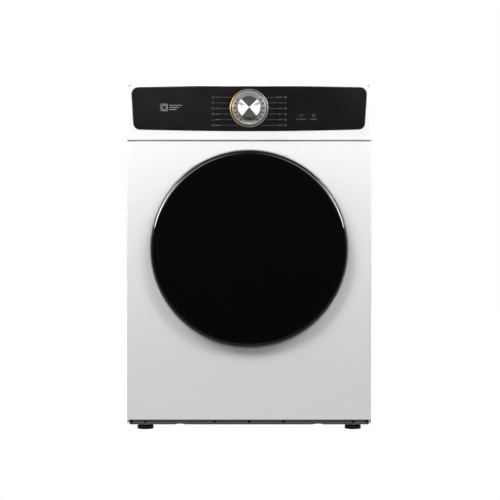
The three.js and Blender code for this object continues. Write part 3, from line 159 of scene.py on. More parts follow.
class DryerDialSettings(bpy.types.PropertyGroup):
    """Sizes and colours of the program dial"""

    # The knob's two colours paint its reflection: metal gives the bright sweeps of painted highlight, shade the
    # dark sweeps and slivers of painted reflection.
    metal: colour("Metal", "Spun metal of the knob", (0.8, 0.795, 0.78))
    shade: colour("Shade", "Dark sweep of the spun metal", (0.035, 0.033, 0.03))
    ring: colour("Ring", "Satin metal of the dial ring", (0.27, 0.266, 0.25))
    light: colour("Light", "Amber of the lit arc", (0.42, 0.2, 0.017))
    tick_circle: length("Tick circle", "Radius of the circle of ticks", 35.2 * MM)
    tick_length: length("Tick length", "Length of a tick", 6.2 * MM)
    tick_width: length("Tick width", "Width of a tick", 3.3 * MM)


class DryerDoorSettings(bpy.types.PropertyGroup):
    """Sizes and colours of the door"""

    black: colour("Black", "Gloss black of the rim", (0.0028, 0.0028, 0.0031))
    glass: colour("Glass", "Black of the door's glass", (0.0022, 0.0022, 0.0024))
    bowl: colour("Bowl", "Plastic of the door's inner side", (0.62, 0.62, 0.61))
    rubber: colour("Rubber", "Grey of the seal", (0.06, 0.06, 0.062))
    rim_wall: length("Rim wall", "Wall of the rounded rim", 3 * MM)
    rim_nose: length("Rim nose", "Radius that the rim's front rolls over", 10 * MM)
    rim_heel: length("Rim heel", "Radius of the rim's back edge", 7 * MM)


class DryerStageSettings(bpy.types.PropertyGroup):
    """Camera and light"""

    distance: length("Camera distance", "Camera in front of the front panel", 3.4)
    width: length("View width", "Width that the view covers at the front panel", 1.2148)
    eye_height: length("Eye height", "Height of the camera", 0.439)
    eye_offset: length("Eye offset", "Camera to the right of the middle", 2.1 * MM)
    key: number("Key light", "Power of each softbox", 8.2, unit="POWER")
    strip: number("Rim strips", "Power of each strip that only shows as a highlight", 30.0, unit="POWER")
    aim: length("Aim", "How far above the front panel's top edge the softboxes aim", 0.54)
    spread: number("Spread", "Angle that each softbox spreads its light over", math.radians(50),
                   max=math.pi, subtype="ANGLE", unit="ROTATION")


# ---- Mesh helpers ----


def piece(name, mesh, material, angle=32):
    """A finished object of a mesh: smooth apart from edges sharper than the angle."""
    made = bpy.data.objects.new(name, mesh)
    mesh.name = name
    bpy.context.scene.collection.objects.link(made)
    mesh.materials.clear()
    mesh.materials.append(material)
    mesh.shade_smooth()
    mesh.set_sharp_from_angle(angle=math.radians(angle))
    return made


def mesh_of(bm, outward=True):
    """The mesh of a bmesh, its doubles merged and its faces turned out."""
    bmesh.ops.remove_doubles(bm, verts=bm.verts, dist=1e-6)
    if outward:
        bmesh.ops.recalc_face_normals(bm, faces=bm.faces)
    mesh = bpy.data.meshes.new("made")
    bm.to_mesh(mesh)
    bm.free()
    return mesh


def bridge(bm, rows, closed=True):
    """Faces between each row of vertices and the next."""
    for a, b in zip(rows, rows[1:]):
        for i in range(len(a) if closed else len(a) - 1):
            j = (i + 1) % len(a)
            bm.faces.new((a[i], a[j], b[j], b[i]))


def loft(loops, around=False):
    """A closed skin over loops of equal length. It is capped, or around joins its last loop to its first."""
    bm = bmesh.new()
    rings = [[bm.verts.new(p) for p in loop] for loop in loops]
    bridge(bm, rings + rings[:1] if around else rings)
    if not around:
        bm.faces.new(rings[0])
        bm.faces.new(rings[-1])
    return mesh_of(bm)


def revolved(profile, centre, segments=FINE):
    """A closed [radius, y] profile turned about the line along Y through a centre. Its y is the frame's."""
    bm = bmesh.new()
    rings = []
    for r, y in profile:
        if r < 1e-7:
            rings.append([bm.verts.new((centre.x, y, centre.z))] * segments)
            continue
        turn = [2 * math.pi * i / segments for i in range(segments)]
        rings.append(
            [bm.verts.new((centre.x + r * math.cos(a), y, centre.z + r * math.sin(a))) for a in turn]
        )
    for a, b in zip(rings, rings[1:] + rings[:1]):
        for i in range(segments):
            j = (i + 1) % segments
            corners = list(dict.fromkeys((a[i], a[j], b[j], b[i])))
            if len(corners) > 2:
                bm.faces.new(corners)
    return mesh_of(bm)


def joined(*meshes):
    """Several closed meshes as one."""
    bm = bmesh.new()
    for mesh in meshes:
        bm.from_mesh(mesh)
    made = bpy.data.meshes.new("joined")
    bm.to_mesh(made)
    bm.free()
    return made


def arc(cx, cy, radius, start, end, steps, radius_y=None):
    """Points along an arc, angles in degrees."""
    turn = [math.radians(start + (end - start) * i / steps) for i in range(steps + 1)]
    return [(cx + radius * math.cos(a), cy + (radius_y or radius) * math.sin(a)) for a in turn]


def quarter_turn(steps):
    """Points of a quarter turn, each as how far it has risen and fallen back, in shares of the radius."""
    turns = [math.pi / 2 * i / steps for i in range(steps + 1)]
    return [(math.sin(a), 1 - math.cos(a)) for a in turns]


def outline(top_half, bottom_half, bottom, top, top_radius, bottom_radius, bows=(0, 0), steps=10):
    """A rounded outline in X and Z that leans, bows and rounds as asked, with its corners and sides in step."""

    def side(reach, level, bow):
        shares = [i / SIDE_STEPS for i in range(1, SIDE_STEPS)]
        return [(reach * (1 - 2 * t), level + bow * 4 * t * (1 - t)) for t in shares]

    top_x, top_z = top_half - top_radius, top - top_radius
    bottom_x, bottom_z = bottom_half - bottom_radius, bottom + bottom_radius
    return (
        arc(top_x, top_z, top_radius, 0, 90, steps) + side(top_x, top, bows[0])
        + arc(-top_x, top_z, top_radius, 90, 180, steps)
        + arc(-bottom_x, bottom_z, bottom_radius, 180, 270, steps) + side(-bottom_x, bottom, -bows[1])
        + arc(bottom_x, bottom_z, bottom_radius, 270, 360, steps)
    )


def rectangle(half_x, half_z, radius):
    """A rounded rectangle about the origin, as an outline."""
    return outline(half_x, half_x, -half_z, half_z, radius, radius, steps=6)


def at_depth(points, y, centre=(0, 0)):
    return [(centre[0] + x, y, centre[1] + z) for x, z in points]


def slab(outline_at, back, front, edge, steps=5, centre=(0, 0)):
    """A plate between two depths with a rounded front edge. outline_at gives the outline at an inset."""
    toward = -1 if front < back else 1
    loops = [at_depth(outline_at(0), back, centre)]
    for risen, fallen in quarter_turn(steps):
        loops.append(at_depth(outline_at(edge * fallen), front - toward * edge * (1 - risen), centre))
    loops.append(at_depth(outline_at(edge * 1.5), front, centre))
    return loft(loops)


def block(lowest, highest, bevel=0.0, segments=2):
    """A box between two corners, its edges rounded."""
    bm = bmesh.new()
    size = Vector(highest) - Vector(lowest)
    place = Matrix.Translation((Vector(highest) + Vector(lowest)) / 2) @ Matrix.Diagonal((*size, 1))
    bmesh.ops.create_cube(bm, size=1, matrix=place)
    if bevel:
        bmesh.ops.bevel(
            bm, geom=bm.edges[:], offset=bevel, offset_type="OFFSET", segments=segments,
            profile=0.5, affect="EDGES", clamp_overlap=True,
        )
    return mesh_of(bm)


def rod(start, end, radius, segments=SMALL):
    """A round rod between two points."""
    start, end = Vector(start), Vector(end)
    axis = end - start
    turn = axis.to_track_quat("Z", "Y").to_matrix().to_4x4()
    bm = bmesh.new()
    bmesh.ops.create_cone(
        bm, cap_ends=True, segments=segments, radius1=radius, radius2=radius, depth=axis.length,
        matrix=Matrix.Translation((start + end) / 2) @ turn,
    )
    return mesh_of(bm)


def evaluated(source):
    """The mesh that an object's modifiers make. The object is removed."""
    graph = bpy.context.evaluated_depsgraph_get()
    mesh = bpy.data.meshes.new_from_object(source.evaluated_get(graph))
    old = source.data
    bpy.data.objects.remove(source)
    if old.users == 0:
        bpy.data.meshes.remove(old)
    return mesh


def loose(mesh):
    """An unfinished object that holds a mesh for its modifiers."""
    made = bpy.data.objects.new("loose", mesh)
    bpy.context.scene.collection.objects.link(made)
    return made


def shaped(mesh, operation, others):
    """A mesh with others cut from it, joined to it or both kept in common."""
    body, tool = loose(mesh), loose(joined(*others))
    change = body.modifiers.new("shape", "BOOLEAN")
    change.operation, change.object, change.solver = operation, tool, "EXACT"
    change.use_self = len(others) > 1 and operation == "UNION"
    made = evaluated(body)
    bpy.data.objects.remove(tool)
    return made


def cut(mesh, *others):
    return shaped(mesh, "DIFFERENCE", others)


def united(mesh, *others):
    for other in others:
        mesh = shaped(mesh, "UNION", [other])
    return mesh


def bevelled(mesh, width):
    """A mesh whose sharp edges are rounded."""
    body = loose(mesh)
    soften = body.modifiers.new("edges", "BEVEL")
    soften.width, soften.segments, soften.limit_method = width, 2, "ANGLE"
    soften.angle_limit = math.radians(38)
    return evaluated(body)


def moved(mesh, matrix):
    mesh.transform(matrix)
    if matrix.determinant() < 0:
        mesh.flip_normals()
    return mesh


def softened(node, width):
    """A CAD node's shape as a piece with rounded edges, which takes the node's place and rides with it."""
    slot = slot_of(node)
    bm = bmesh.new()
    bm.from_mesh(frame["nodes"][node].data)
    bmesh.ops.remove_doubles(bm, verts=bm.verts, dist=1e-5)
    bmesh.ops.dissolve_limit(
        bm, angle_limit=math.radians(1), verts=bm.verts[:], edges=bm.edges[:], use_dissolve_boundaries=False
    )
    made = piece(f"{node}_finished", bevelled(mesh_of(bm, outward=False), width), slot_finish(slot))
    return placed(made, frame["nodes"][node]["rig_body"], slot, node)


def slot_of(node):
    rows = frame["record"]["subparts"]
    return next(row["material_slot"] for row in rows if row["node"] == node)


def placed(made, body, slot, *nodes):
    """Fixes a piece to its body and hides the CAD nodes that it stands for. Its slot is not used."""
    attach(made, body)
    if nodes:
        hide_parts(*nodes)
    return made


class Nodes:
    """A node tree under construction."""

    def feed(self, socket, value):
        if isinstance(value, bpy.types.NodeSocket):
            self.tree.links.new(value, socket)
        else:
            socket.default_value = value

    def add(self, kind, settings=None, **sockets):
        """A node with its settings and its inputs, each a value or another node's output."""
        node = self.tree.nodes.new(kind)
        for key, value in (settings or {}).items():
            setattr(node, key, value)
        for label, value in sockets.items():
            self.feed(node.inputs[label.replace("_", " ")], value)
        return node

    def math(self, operation, *values, clamp=False):
        node = self.add("ShaderNodeMath", {"operation": operation, "use_clamp": clamp})
        for socket, value in zip(node.inputs, values):
            self.feed(socket, value)
        return node.outputs[0]


# ---- Geometry Nodes helpers ----


class Pattern(Nodes):
    """A Geometry Nodes tree under construction, with named inputs."""

    kinds = {float: "NodeSocketFloat", int: "NodeSocketInt", Vector: "NodeSocketVector"}

    def __init__(self, name, **inputs):
        self.tree = bpy.data.node_groups.new(name, "GeometryNodeTree")
        face = self.tree.interface
        for label, way in (("Geometry", "INPUT"), ("Geometry", "OUTPUT"), ("Material", "INPUT")):
            face.new_socket(label, in_out=way, socket_type=f"NodeSocket{label}")
        for label, value in inputs.items():
            made = face.new_socket(label, in_out="INPUT", socket_type=self.kinds[type(value)])
            made.default_value = value
        self.given = self.tree.nodes.new("NodeGroupInput").outputs
        self.result = self.tree.nodes.new("NodeGroupOutput").inputs

    def vector(self, x=0.0, y=0.0, z=0.0):
        return self.add("ShaderNodeCombineXYZ", X=x, Y=y, Z=z).outputs[0]

    def facing(self):
        """The rotation that turns +Z towards each point's stored normal."""
        normal = self.add("GeometryNodeInputNamedAttribute", {"data_type": "FLOAT_VECTOR"}, Name="facing")
        return self.add("FunctionNodeAlignRotationToVector", {"axis": "Z"},
                        Vector=normal.outputs[0]).outputs[0]

    def carved(self, body, tool, **settings):
        node = self.add("GeometryNodeMeshBoolean", {"operation": "DIFFERENCE", **settings})
        self.feed(node.inputs[0], body)
        self.feed(node.inputs[1], tool)
        return node.outputs[0]

    def instanced(self, points, shape, **turned):
        return self.add("GeometryNodeInstanceOnPoints", Points=points, Instance=shape, **turned).outputs[0]

    def finish(self, geometry):
        """Ends the tree in Realize Instances and Set Material."""
        real = self.add("GeometryNodeRealizeInstances", Geometry=geometry)
        painted = self.add("GeometryNodeSetMaterial", Geometry=real.outputs[0],
                           Material=self.given["Material"])
        self.feed(self.result["Geometry"], painted.outputs[0])
        return self.tree


def grown(make, mesh, material, **values):
    """The plain mesh that a pattern makes on a mesh."""
    if make not in PATTERNS:
        PATTERNS[make] = make()
    tree = PATTERNS[make]
    host = loose(mesh)
    modifier = host.modifiers.new(tree.name, "NODES")
    modifier.node_group = tree
    values["Material"] = material
    for item in tree.interface.items_tree:
        if item.in_out == "INPUT" and item.name in values:
            modifier[item.identifier] = values[item.name]
    return evaluated(host)


def points_mesh(points, normals=None):
    """A mesh of single points, with a normal stored for each."""
    mesh = bpy.data.meshes.new("points")
    mesh.from_pydata([tuple(p) for p in points], [], [])
    if normals:
        facing = mesh.attributes.new("facing", "FLOAT_VECTOR", "POINT")
        for row, normal in zip(facing.data, normals):
            row.vector = normal
    return mesh


def screws_pattern():
    """Domed screw heads with a cross recess, standing on points along each point's normal."""
    p = Pattern("Screw heads", Radius=4.2 * MM, Height=2.2 * MM, Recess=0.9 * MM)
    radius, height, recess = (p.given[label] for label in ("Radius", "Height", "Recess"))

    def times(value, share):
        return p.math("MULTIPLY", value, share)

    washer = p.add("GeometryNodeMeshCylinder", Vertices=20, Radius=radius, Depth=times(height, 0.4))
    dome = p.add("GeometryNodeMeshCone", Vertices=20, Side_Segments=1, Radius_Bottom=times(radius, 0.82),
                 Radius_Top=times(radius, 0.55), Depth=times(height, 0.8))
    raised = p.add("GeometryNodeTransform", Geometry=dome.outputs[0],
                   Translation=p.vector(z=times(height, 0.15)))
    join = p.add("GeometryNodeJoinGeometry")
    for part in (washer, raised):
        p.feed(join.inputs[0], part.outputs[0])
    head = join.outputs[0]
    for sizes in ((radius, recess), (recess, radius)):
        bar = p.add("GeometryNodeMeshCube", Size=p.vector(*sizes, height))
        sunk = p.add("GeometryNodeTransform", Geometry=bar.outputs[0],
                     Translation=p.vector(z=times(height, 1.05)))
        head = p.carved(head, sunk.outputs[0])
    spin = p.add("FunctionNodeRandomValue", {"data_type": "FLOAT"}, Seed=7)
    for socket, limit in zip(spin.inputs[2:], (0.0, 1.5)):
        p.feed(socket, limit)
    own = p.add("FunctionNodeRotateRotation", {"rotation_space": "LOCAL"}, Rotation=p.facing(),
                Rotate_By=p.vector(z=spin.outputs[1]))
    return p.finish(p.instanced(p.given["Geometry"], head, Rotation=own.outputs[0]))


def spokes_pattern():
    """Blocks round a centre in the plane of X and Z, each along its own radius."""
    p = Pattern("Spokes", Count=12, First=0.0, Step=0.5, Radius=35 * MM, Length=5 * MM, Width=2 * MM,
                Depth=1 * MM, Centre=Vector((0, 0, 0)))
    line = p.add("GeometryNodeMeshLine", Count=p.given["Count"])
    index = p.add("GeometryNodeInputIndex").outputs[0]
    angle = p.math("MULTIPLY_ADD", index, p.given["Step"], p.given["First"])
    x, z = (p.math("MULTIPLY", p.math(wave, angle), p.given["Radius"]) for wave in ("COSINE", "SINE"))
    centred = p.add("ShaderNodeVectorMath", {"operation": "ADD"})
    p.feed(centred.inputs[0], p.vector(x, 0.0, z))
    p.feed(centred.inputs[1], p.given["Centre"])
    spread = p.add("GeometryNodeSetPosition", Geometry=line.outputs[0], Position=centred.outputs[0])
    bar = p.add("GeometryNodeMeshCube", Size=p.vector(p.given["Length"], p.given["Depth"], p.given["Width"]))
    turned = p.vector(y=p.math("MULTIPLY", angle, -1.0))
    return p.finish(p.instanced(spread.outputs[0], bar.outputs[0], Rotation=turned))


def perforation_pattern():
    """Round holes through a plate that lies across Y, at the points of the vertices marked as holes."""
    p = Pattern("Perforations", Radius=2.5 * MM, Depth=4 * MM)
    marked = p.add("GeometryNodeInputNamedAttribute", {"data_type": "BOOLEAN"}, Name="hole")
    split = p.add("GeometryNodeSeparateGeometry", {"domain": "POINT"}, Geometry=p.given["Geometry"],
                  Selection=marked.outputs[0])
    punch = p.add("GeometryNodeMeshCylinder", Vertices=10, Radius=p.given["Radius"], Depth=p.given["Depth"])
    put = p.instanced(split.outputs[0], punch.outputs[0], Rotation=(math.pi / 2, 0, 0))
    punches = p.add("GeometryNodeRealizeInstances", Geometry=put)
    return p.finish(p.carved(split.outputs[1], punches.outputs[0], solver="FLOAT"))


def dimples_pattern():
    """Small pressed domes on points, along each point's normal."""
    p = Pattern("Dimples", Radius=4 * MM, Height=1 * MM)
    radius = p.given["Radius"]
    dome = p.add("GeometryNodeMeshCone", Vertices=12, Side_Segments=1, Radius_Bottom=radius,
                 Radius_Top=p.math("MULTIPLY", radius, 0.45), Depth=p.given["Height"])
    return p.finish(p.instanced(p.given["Geometry"], dome.outputs[0], Rotation=p.facing()))


def louvres_pattern():
    """A row of pressed louvre hoods up the back of a sheet, from the mesh's first point."""
    p = Pattern("Louvres", Count=8, Pitch=12 * MM, Width=80 * MM, Height=5 * MM, Depth=3 * MM)
    line = p.add("GeometryNodeMeshLine", {"mode": "OFFSET"}, Count=p.given["Count"],
                 Offset=p.vector(z=p.given["Pitch"]))
    first = p.add("GeometryNodeSampleIndex", {"data_type": "FLOAT_VECTOR"}, Geometry=p.given["Geometry"],
                  Value=p.add("GeometryNodeInputPosition").outputs[0])
    line = p.add("GeometryNodeTransform", Geometry=line.outputs[0], Translation=first.outputs[0])
    hood = p.add("GeometryNodeMeshCylinder", Vertices=16, Radius=p.given["Height"], Depth=p.given["Width"])
    flat = p.add("GeometryNodeTransform", Geometry=hood.outputs[0], Rotation=(0, math.pi / 2, 0))
    thin = p.add("GeometryNodeTransform", Geometry=flat.outputs[0],
                 Scale=p.vector(1.0, p.math("DIVIDE", p.given["Depth"], p.given["Height"]), 1.0))
    return p.finish(p.instanced(line.outputs[0], thin.outputs[0]))


PATTERNS = {}


def spokes(material, centre, count, step, radius, size, first=0.0):
    """Blocks round a centre. size is the length, width and depth of a block."""
    return grown(spokes_pattern, points_mesh([(0, 0, 0)]), material, Count=count, First=first, Step=step,
                 Radius=radius, Length=size[0], Width=size[1], Depth=size[2], Centre=Vector(centre))


def screws(name, points, body, **sizes):
    """A piece of screw heads that face +Y."""
    steel = slot_finish("stainless")
    heads = grown(screws_pattern, points_mesh(points, [(0, 1, 0)] * len(points)), steel, **sizes)
    placed(piece(name, heads, steel), body, "stainless")


# ---- Materials ----


class Finish(Nodes):
    """A material under construction: its Principled shader and the nodes in front of it."""

    def __init__(self, name, base, roughness, metallic=0.0, **constants):
        self.material = bpy.data.materials.new(name)
        self.material.use_nodes = True
        self.tree = self.material.node_tree
        self.shader = self.tree.nodes["Principled BSDF"]
        self.base, self.roughness = tuple(base), roughness
        constants |= {"Base Color": (*base, 1), "Roughness": roughness, "Metallic": metallic}
        for label, value in constants.items():
            self.shader.inputs[label.replace("_", " ")].default_value = value
        self.place = self.add("ShaderNodeTexCoord").outputs["Object"]

    def stretched(self, scale, offset=(0, 0, 0)):
        """The coordinates, scaled along each axis and moved."""
        return self.add("ShaderNodeMapping", Vector=self.place, Scale=scale, Location=offset).outputs[0]

    def axes(self, vector=None):
        return self.add("ShaderNodeSeparateXYZ", Vector=vector or self.place).outputs

    def noise(self, scale, detail=3.0, roughness=0.5, vector=None):
        node = self.add("ShaderNodeTexNoise", Vector=vector or self.place, Scale=scale, Detail=detail,
                        Roughness=roughness)
        return node.outputs["Fac"]

    def cells(self, scale, feature="F1", output="Color", vector=None):
        node = self.add("ShaderNodeTexVoronoi", {"feature": feature}, Vector=vector or self.place,
                        Scale=scale)
        return node.outputs[output]

    def spread(self, value, start, end, to_start, to_end, smooth=False):
        """A value's range mapped to another."""
        node = self.add("ShaderNodeMapRange", {"interpolation_type": "SMOOTHSTEP" if smooth else "LINEAR"})
        for socket, item in zip(node.inputs, (value, start, end, to_start, to_end)):
            self.feed(socket, item)
        return node.outputs["Result"]

    def mix(self, share, first, second):
        """Two colours mixed by a share."""
        node = self.add("ShaderNodeMix", {"data_type": "RGBA"}, Factor=share)
        for socket, value in ((node.inputs[6], first), (node.inputs[7], second)):
            self.feed(socket, value if isinstance(value, bpy.types.NodeSocket) else (*value, 1))
        return node.outputs[2]

    def tint(self, share, other):
        """The base colour, turned to another where a share is high."""
        self.feed(self.shader.inputs["Base Color"], self.mix(share, self.base, other))
        return self

    def shade(self, share, amount):
        """The base colour darkened by up to an amount where a share is high."""
        return self.tint(share, tuple(c * (1 - amount) for c in self.base))

    def paler_where(self, share, times, lift=0.0):
        """The base colour, paler where a share is high."""
        return self.tint(share, tuple(min(c * times + lift, 1) for c in self.base))

    def rough(self, share, spread):
        """Roughness that varies by a spread about its own value."""
        value = self.spread(share, 0.3, 0.7, max(self.roughness - spread, 0.0), self.roughness + spread)
        self.feed(self.shader.inputs["Roughness"], value)
        return self

    def relief(self, height, strength, distance):
        bump = self.add("ShaderNodeBump", Height=height, Strength=strength, Distance=distance)
        self.feed(self.shader.inputs["Normal"], bump.outputs[0])
        return self

    def radius_about(self, centre):
        """Distance from a line along Y."""
        flat = self.stretched((1, 0, 1), (-centre.x, 0, -centre.z))
        return self.add("ShaderNodeVectorMath", {"operation": "LENGTH"}, Vector=flat).outputs["Value"]

    def angle_about(self, centre):
        """Angle about a line along Y, from +X towards +Z, in radians from -pi to pi."""
        split = self.axes(self.stretched((1, 1, 1), (-centre.x, 0, -centre.z)))
        return self.math("ARCTAN2", split["Z"], split["X"])

    def rings(self, radius, scale, detail):
        """Fine rings that follow a radius."""
        return self.noise(scale, detail, vector=self.add("ShaderNodeCombineXYZ", X=radius).outputs[0])


MATERIALS = {}


def finish(make, *args):
    """A material, made once for its recipe and its arguments."""
    key = (make, tuple(tuple(a) if hasattr(a, "__len__") and not isinstance(a, str) else a for a in args))
    if key not in MATERIALS:
        MATERIALS[key] = make(*args).material
    return MATERIALS[key]


def grained(name, base, roughness, shade, rough, relief, metallic=0.0, **constants):
    """A plain finish that three noises, each a scale, a detail and an amount, shade, dull and grain."""
    f = Finish(name, base, roughness, metallic, **constants)
    f.shade(f.noise(*shade[:2]), shade[2]).rough(f.noise(*rough[:2]), rough[2])
    scale, detail, strength, distance = relief
    return f.relief(f.noise(scale, detail), strength, distance * MM)


def enamel(base):
    """Baked white enamel: a clear gloss over a very fine orange peel."""
    return grained("white_enamel", base, 0.3, (5.0, 2.0, 0.006), (38.0, 4.0, 0.02), (420.0, 2.0, 0.02, 0.2),
                   Coat_Weight=0.35, Coat_Roughness=0.1)


def moulded_white(base):
    """Satin white plastic with a fine moulded grain."""
    return grained("white_moulding", base, 0.33, (7.0, 3.0, 0.02), (90.0, 3.0, 0.05),
                   (1500.0, 3.0, 0.06, 0.12),
                   Coat_Weight=0.15, Coat_Roughness=0.2)


def piano_black(name, base, roughness):
    """Polished black with hairline swirls and a faint haze."""
    f = Finish(name, base, roughness, Specular_IOR_Level=0.3)
    haze = f.noise(16.0, 4.0, 0.6)
    f.shade(haze, 0.25).rough(haze, roughness * 0.3)
    hairlines = f.noise(60.0, 2.0, vector=f.stretched((40, 1, 3)))
    return f.relief(hairlines, 0.012, 0.05 * MM)


def window_black(base):
    """The control window: smoked gloss with a painted sheen, a painted reflection that makes it paler towards
    its left.
    """
    f = Finish("control_window", base, 0.2, Specular_IOR_Level=0.36)
    # Painted reflection: the base colour grows paler towards the window's left, with a soft noise in it.
    left = f.spread(f.axes()["X"], high("fascia_window").x, low("fascia_window").x, 0.0, 1.0)
    painted_left_sheen = f.math("MULTIPLY", left, f.spread(f.noise(9.0, 3.0), 0.3, 0.7, 0.85, 1.0))
    f.paler_where(painted_left_sheen, 1.9).rough(f.noise(24.0, 4.0), 0.03)
    return f.relief(f.noise(900.0, 2.0), 0.02, 0.05 * MM)


def printed(name, base):
    """Screen-printed ink, slightly uneven."""
    return grained(name, base, 0.55, (900.0, 3.0, 0.22), (500.0, 2.0, 0.08), (2600.0, 2.0, 0.1, 0.03))


def spun_metal(bright, dark):
    """Spun metal of the knob: fine rings, and a painted reflection of its radial polish: two bright sweeps of
    painted highlight and two dark sweeps with two slivers of painted dark reflection, set by the angle about
    the dial.
    """
    f = Finish("spun_metal", bright, 0.34, 0.15, Anisotropic=0.6)
    angle, radius = f.angle_about(DIAL), f.radius_about(DIAL)
    rings = f.rings(radius, 1600.0, 2.0)
    grain = f.spread(rings, 0.3, 0.7, -0.012, 0.012)
    opened = f.math("PINGPONG", f.math("ABSOLUTE", angle), math.pi / 2)
    tilt = f.math("MULTIPLY", f.math("SINE", f.math("ADD", angle, 0.5)), 0.06)
    sweep = f.math("ADD", f.math("ADD", opened, tilt), grain)
    # Painted dark reflection in the two sectors nearer the vertical; the sectors nearer the horizontal keep the
    # bright colour as a painted highlight.
    painted_dark_reflection = f.spread(sweep, math.radians(46), math.radians(49), 0.0, 1.0, True)
    # A painted dark sliver of reflection about 22 degrees above the horizontal on each side, fading towards the
    # centre.
    painted_sliver_band = f.spread(f.math("ABSOLUTE", f.math("SUBTRACT", opened, math.radians(22))),
                    math.radians(4), math.radians(12), 1.0, 0.0, True)
    upper = f.spread(angle, 0.0, 0.1, 0.0, 1.0)
    outer = f.spread(radius, KNOB_RADIUS * 0.3, KNOB_RADIUS * 0.7, 0.0, 0.65)
    painted_dark_sliver = f.math("MULTIPLY", f.math("MULTIPLY", painted_sliver_band, upper), outer)
    # The base colour goes dark wherever the painted reflection is dark.
    f.tint(f.math("MAXIMUM", painted_dark_reflection, painted_dark_sliver, clamp=True), dark).rough(rings, 0.06)
    return f.relief(rings, 0.05, 0.03 * MM)


def satin_ring(base):
    """Satin metal, brushed round and round the dial."""
    f = Finish("satin_ring", base, 0.4, 0.3, Anisotropic=0.4)
    rings = f.rings(f.radius_about(DIAL), 1900.0, 3.0)
    return f.shade(rings, 0.22).rough(rings, 0.07).relief(rings, 0.25, 0.05 * MM)


def dial_light(amber):
    """The light guide round the dial: amber where it is lit, and bare metal elsewhere."""
    f = Finish("dial_light", (0.23, 0.225, 0.215), 0.3, 0.5)
    angle = f.math("MODULO", f.math("ADD", f.angle_about(DIAL), 2 * math.pi), 2 * math.pi)
    centre, half = math.radians(186), math.radians(64)
    away = f.math("ABSOLUTE", f.math("SUBTRACT", angle, centre))
    lit = f.spread(away, half, half - math.radians(9), 0.0, 1.0, True)
    f.tint(lit, amber).rough(f.noise(300.0, 3.0), 0.06)
    f.feed(f.shader.inputs["Emission Color"], f.mix(lit, (0, 0, 0), amber))
    strong = f.spread(away, 0.0, half, 0.14, 0.05)
    f.feed(f.shader.inputs["Emission Strength"], f.math("MULTIPLY", lit, strong))
    return f.relief(f.noise(1200.0, 2.0), 0.08, 0.05 * MM)


def moulded(name, base, roughness=0.5):
    """Injection-moulded plastic with a spark-eroded grain."""
    f = Finish(name, base, roughness)
    f.shade(f.noise(11.0, 4.0), 0.05).rough(f.noise(140.0, 3.0), 0.07)
    return f.relief(f.cells(1300.0, output="Distance"), 0.14, 0.08 * MM)


def zinc(base):
    """Galvanised sheet with its spangle."""
    f = Finish("galvanised_sheet", base, 0.42, 0.85)
    warped = f.add("ShaderNodeVectorMath", {"operation": "MULTIPLY_ADD"})
    for socket, value in zip(warped.inputs, (f.noise(40.0, 2.0), (0.02, 0.02, 0.02), f.place)):
        f.feed(socket, value)
    grey = f.add("ShaderNodeRGBToBW", Color=f.cells(130.0, vector=warped.outputs[0])).outputs[0]
    f.shade(f.spread(grey, 0.1, 0.9, 0.0, 1.0), 0.14).rough(grey, 0.09)
    return f.relief(f.noise(200.0, 3.0), 0.05, 0.2 * MM)


def base_paint(base):
    """Dark powder paint of the base, lightly dusty."""
    f = Finish("base_paint", base, 0.55, 0.1)
    dust = f.spread(f.noise(45.0, 5.0, 0.65), 0.5, 0.75, 0.0, 0.4)
    return f.paler_where(dust, 1.9).rough(f.noise(80.0, 3.0), 0.08).relief(f.noise(1400.0, 3.0), 0.2, 0.1 * MM)


def brushed_steel(base):
    """Stainless steel of the drum, brushed round its axis."""
    f = Finish("drum_steel", base, 0.26, 1.0, Anisotropic=0.45)
    lines = f.noise(6.0, 3.0, vector=f.stretched((1.5, 420, 1.5)))
    marks = f.noise(18.0, 4.0, 0.6)
    f.shade(f.math("MULTIPLY", lines, marks), 0.4).rough(lines, 0.09)
    return f.relief(lines, 0.07, 0.08 * MM)


def plated_steel(base):
    """Bright zinc-plated steel of screws, pins and shafts."""
    return grained("plated_steel", base, 0.28, (240.0, 4.0, 0.25), (400.0, 3.0, 0.08),
                   (2200.0, 2.0, 0.08, 0.04), 1.0)


def rubber(name, base):
    """Moulded rubber with a dull bloom."""
    f = Finish(name, base, 0.72, Specular_IOR_Level=0.35)
    bloom = f.spread(f.noise(60.0, 5.0, 0.6), 0.45, 0.8, 0.0, 0.5)
    f.paler_where(bloom, 1.7, 0.01).rough(f.noise(150.0, 3.0), 0.08)
    return f.relief(f.noise(1600.0, 4.0), 0.18, 0.1 * MM)


def wool_felt(base):
    """Pressed wool felt with short stray fibres."""
    f = Finish("wool_felt", base, 0.95, Sheen_Weight=0.5, Sheen_Roughness=0.5)
    fibres = f.noise(420.0, 6.0, 0.75, vector=f.stretched((1, 2.2, 0.8)))
    return f.shade(fibres, 0.45).relief(fibres, 0.6, 0.5 * MM)


def sintered_bronze(base):
    """Oil-filled sintered bronze."""
    return grained("sintered_bronze", base, 0.42, (900.0, 4.0, 0.3), (300.0, 3.0, 0.08),
                   (2400.0, 4.0, 0.25, 0.08),
                   0.9)


def circuit_board(base):
    """Green solder mask over copper tracks."""
    f = Finish("circuit_board", base, 0.4)
    lines = f.spread(f.cells(160.0, "DISTANCE_TO_EDGE", "Distance"), 0.04, 0.07, 1.0, 0.0)
    return f.tint(lines, (0.06, 0.26, 0.12)).rough(f.noise(200.0, 3.0), 0.06).relief(lines, 0.2, 0.05 * MM)


def filter_mesh(base):
    """Fine woven screen of the lint filter."""
    f = Finish("filter_mesh", base, 0.6)
    split, density = f.axes(), 2600.0
    waves = [f.math("ABSOLUTE", f.math("SINE", f.math("MULTIPLY", split[axis], density)))
             for axis in ("X", "Z")]
    weave = f.math("MULTIPLY", *waves)
    return f.tint(weave, tuple(c * 0.15 for c in base)).relief(weave, 0.5, 0.2 * MM)


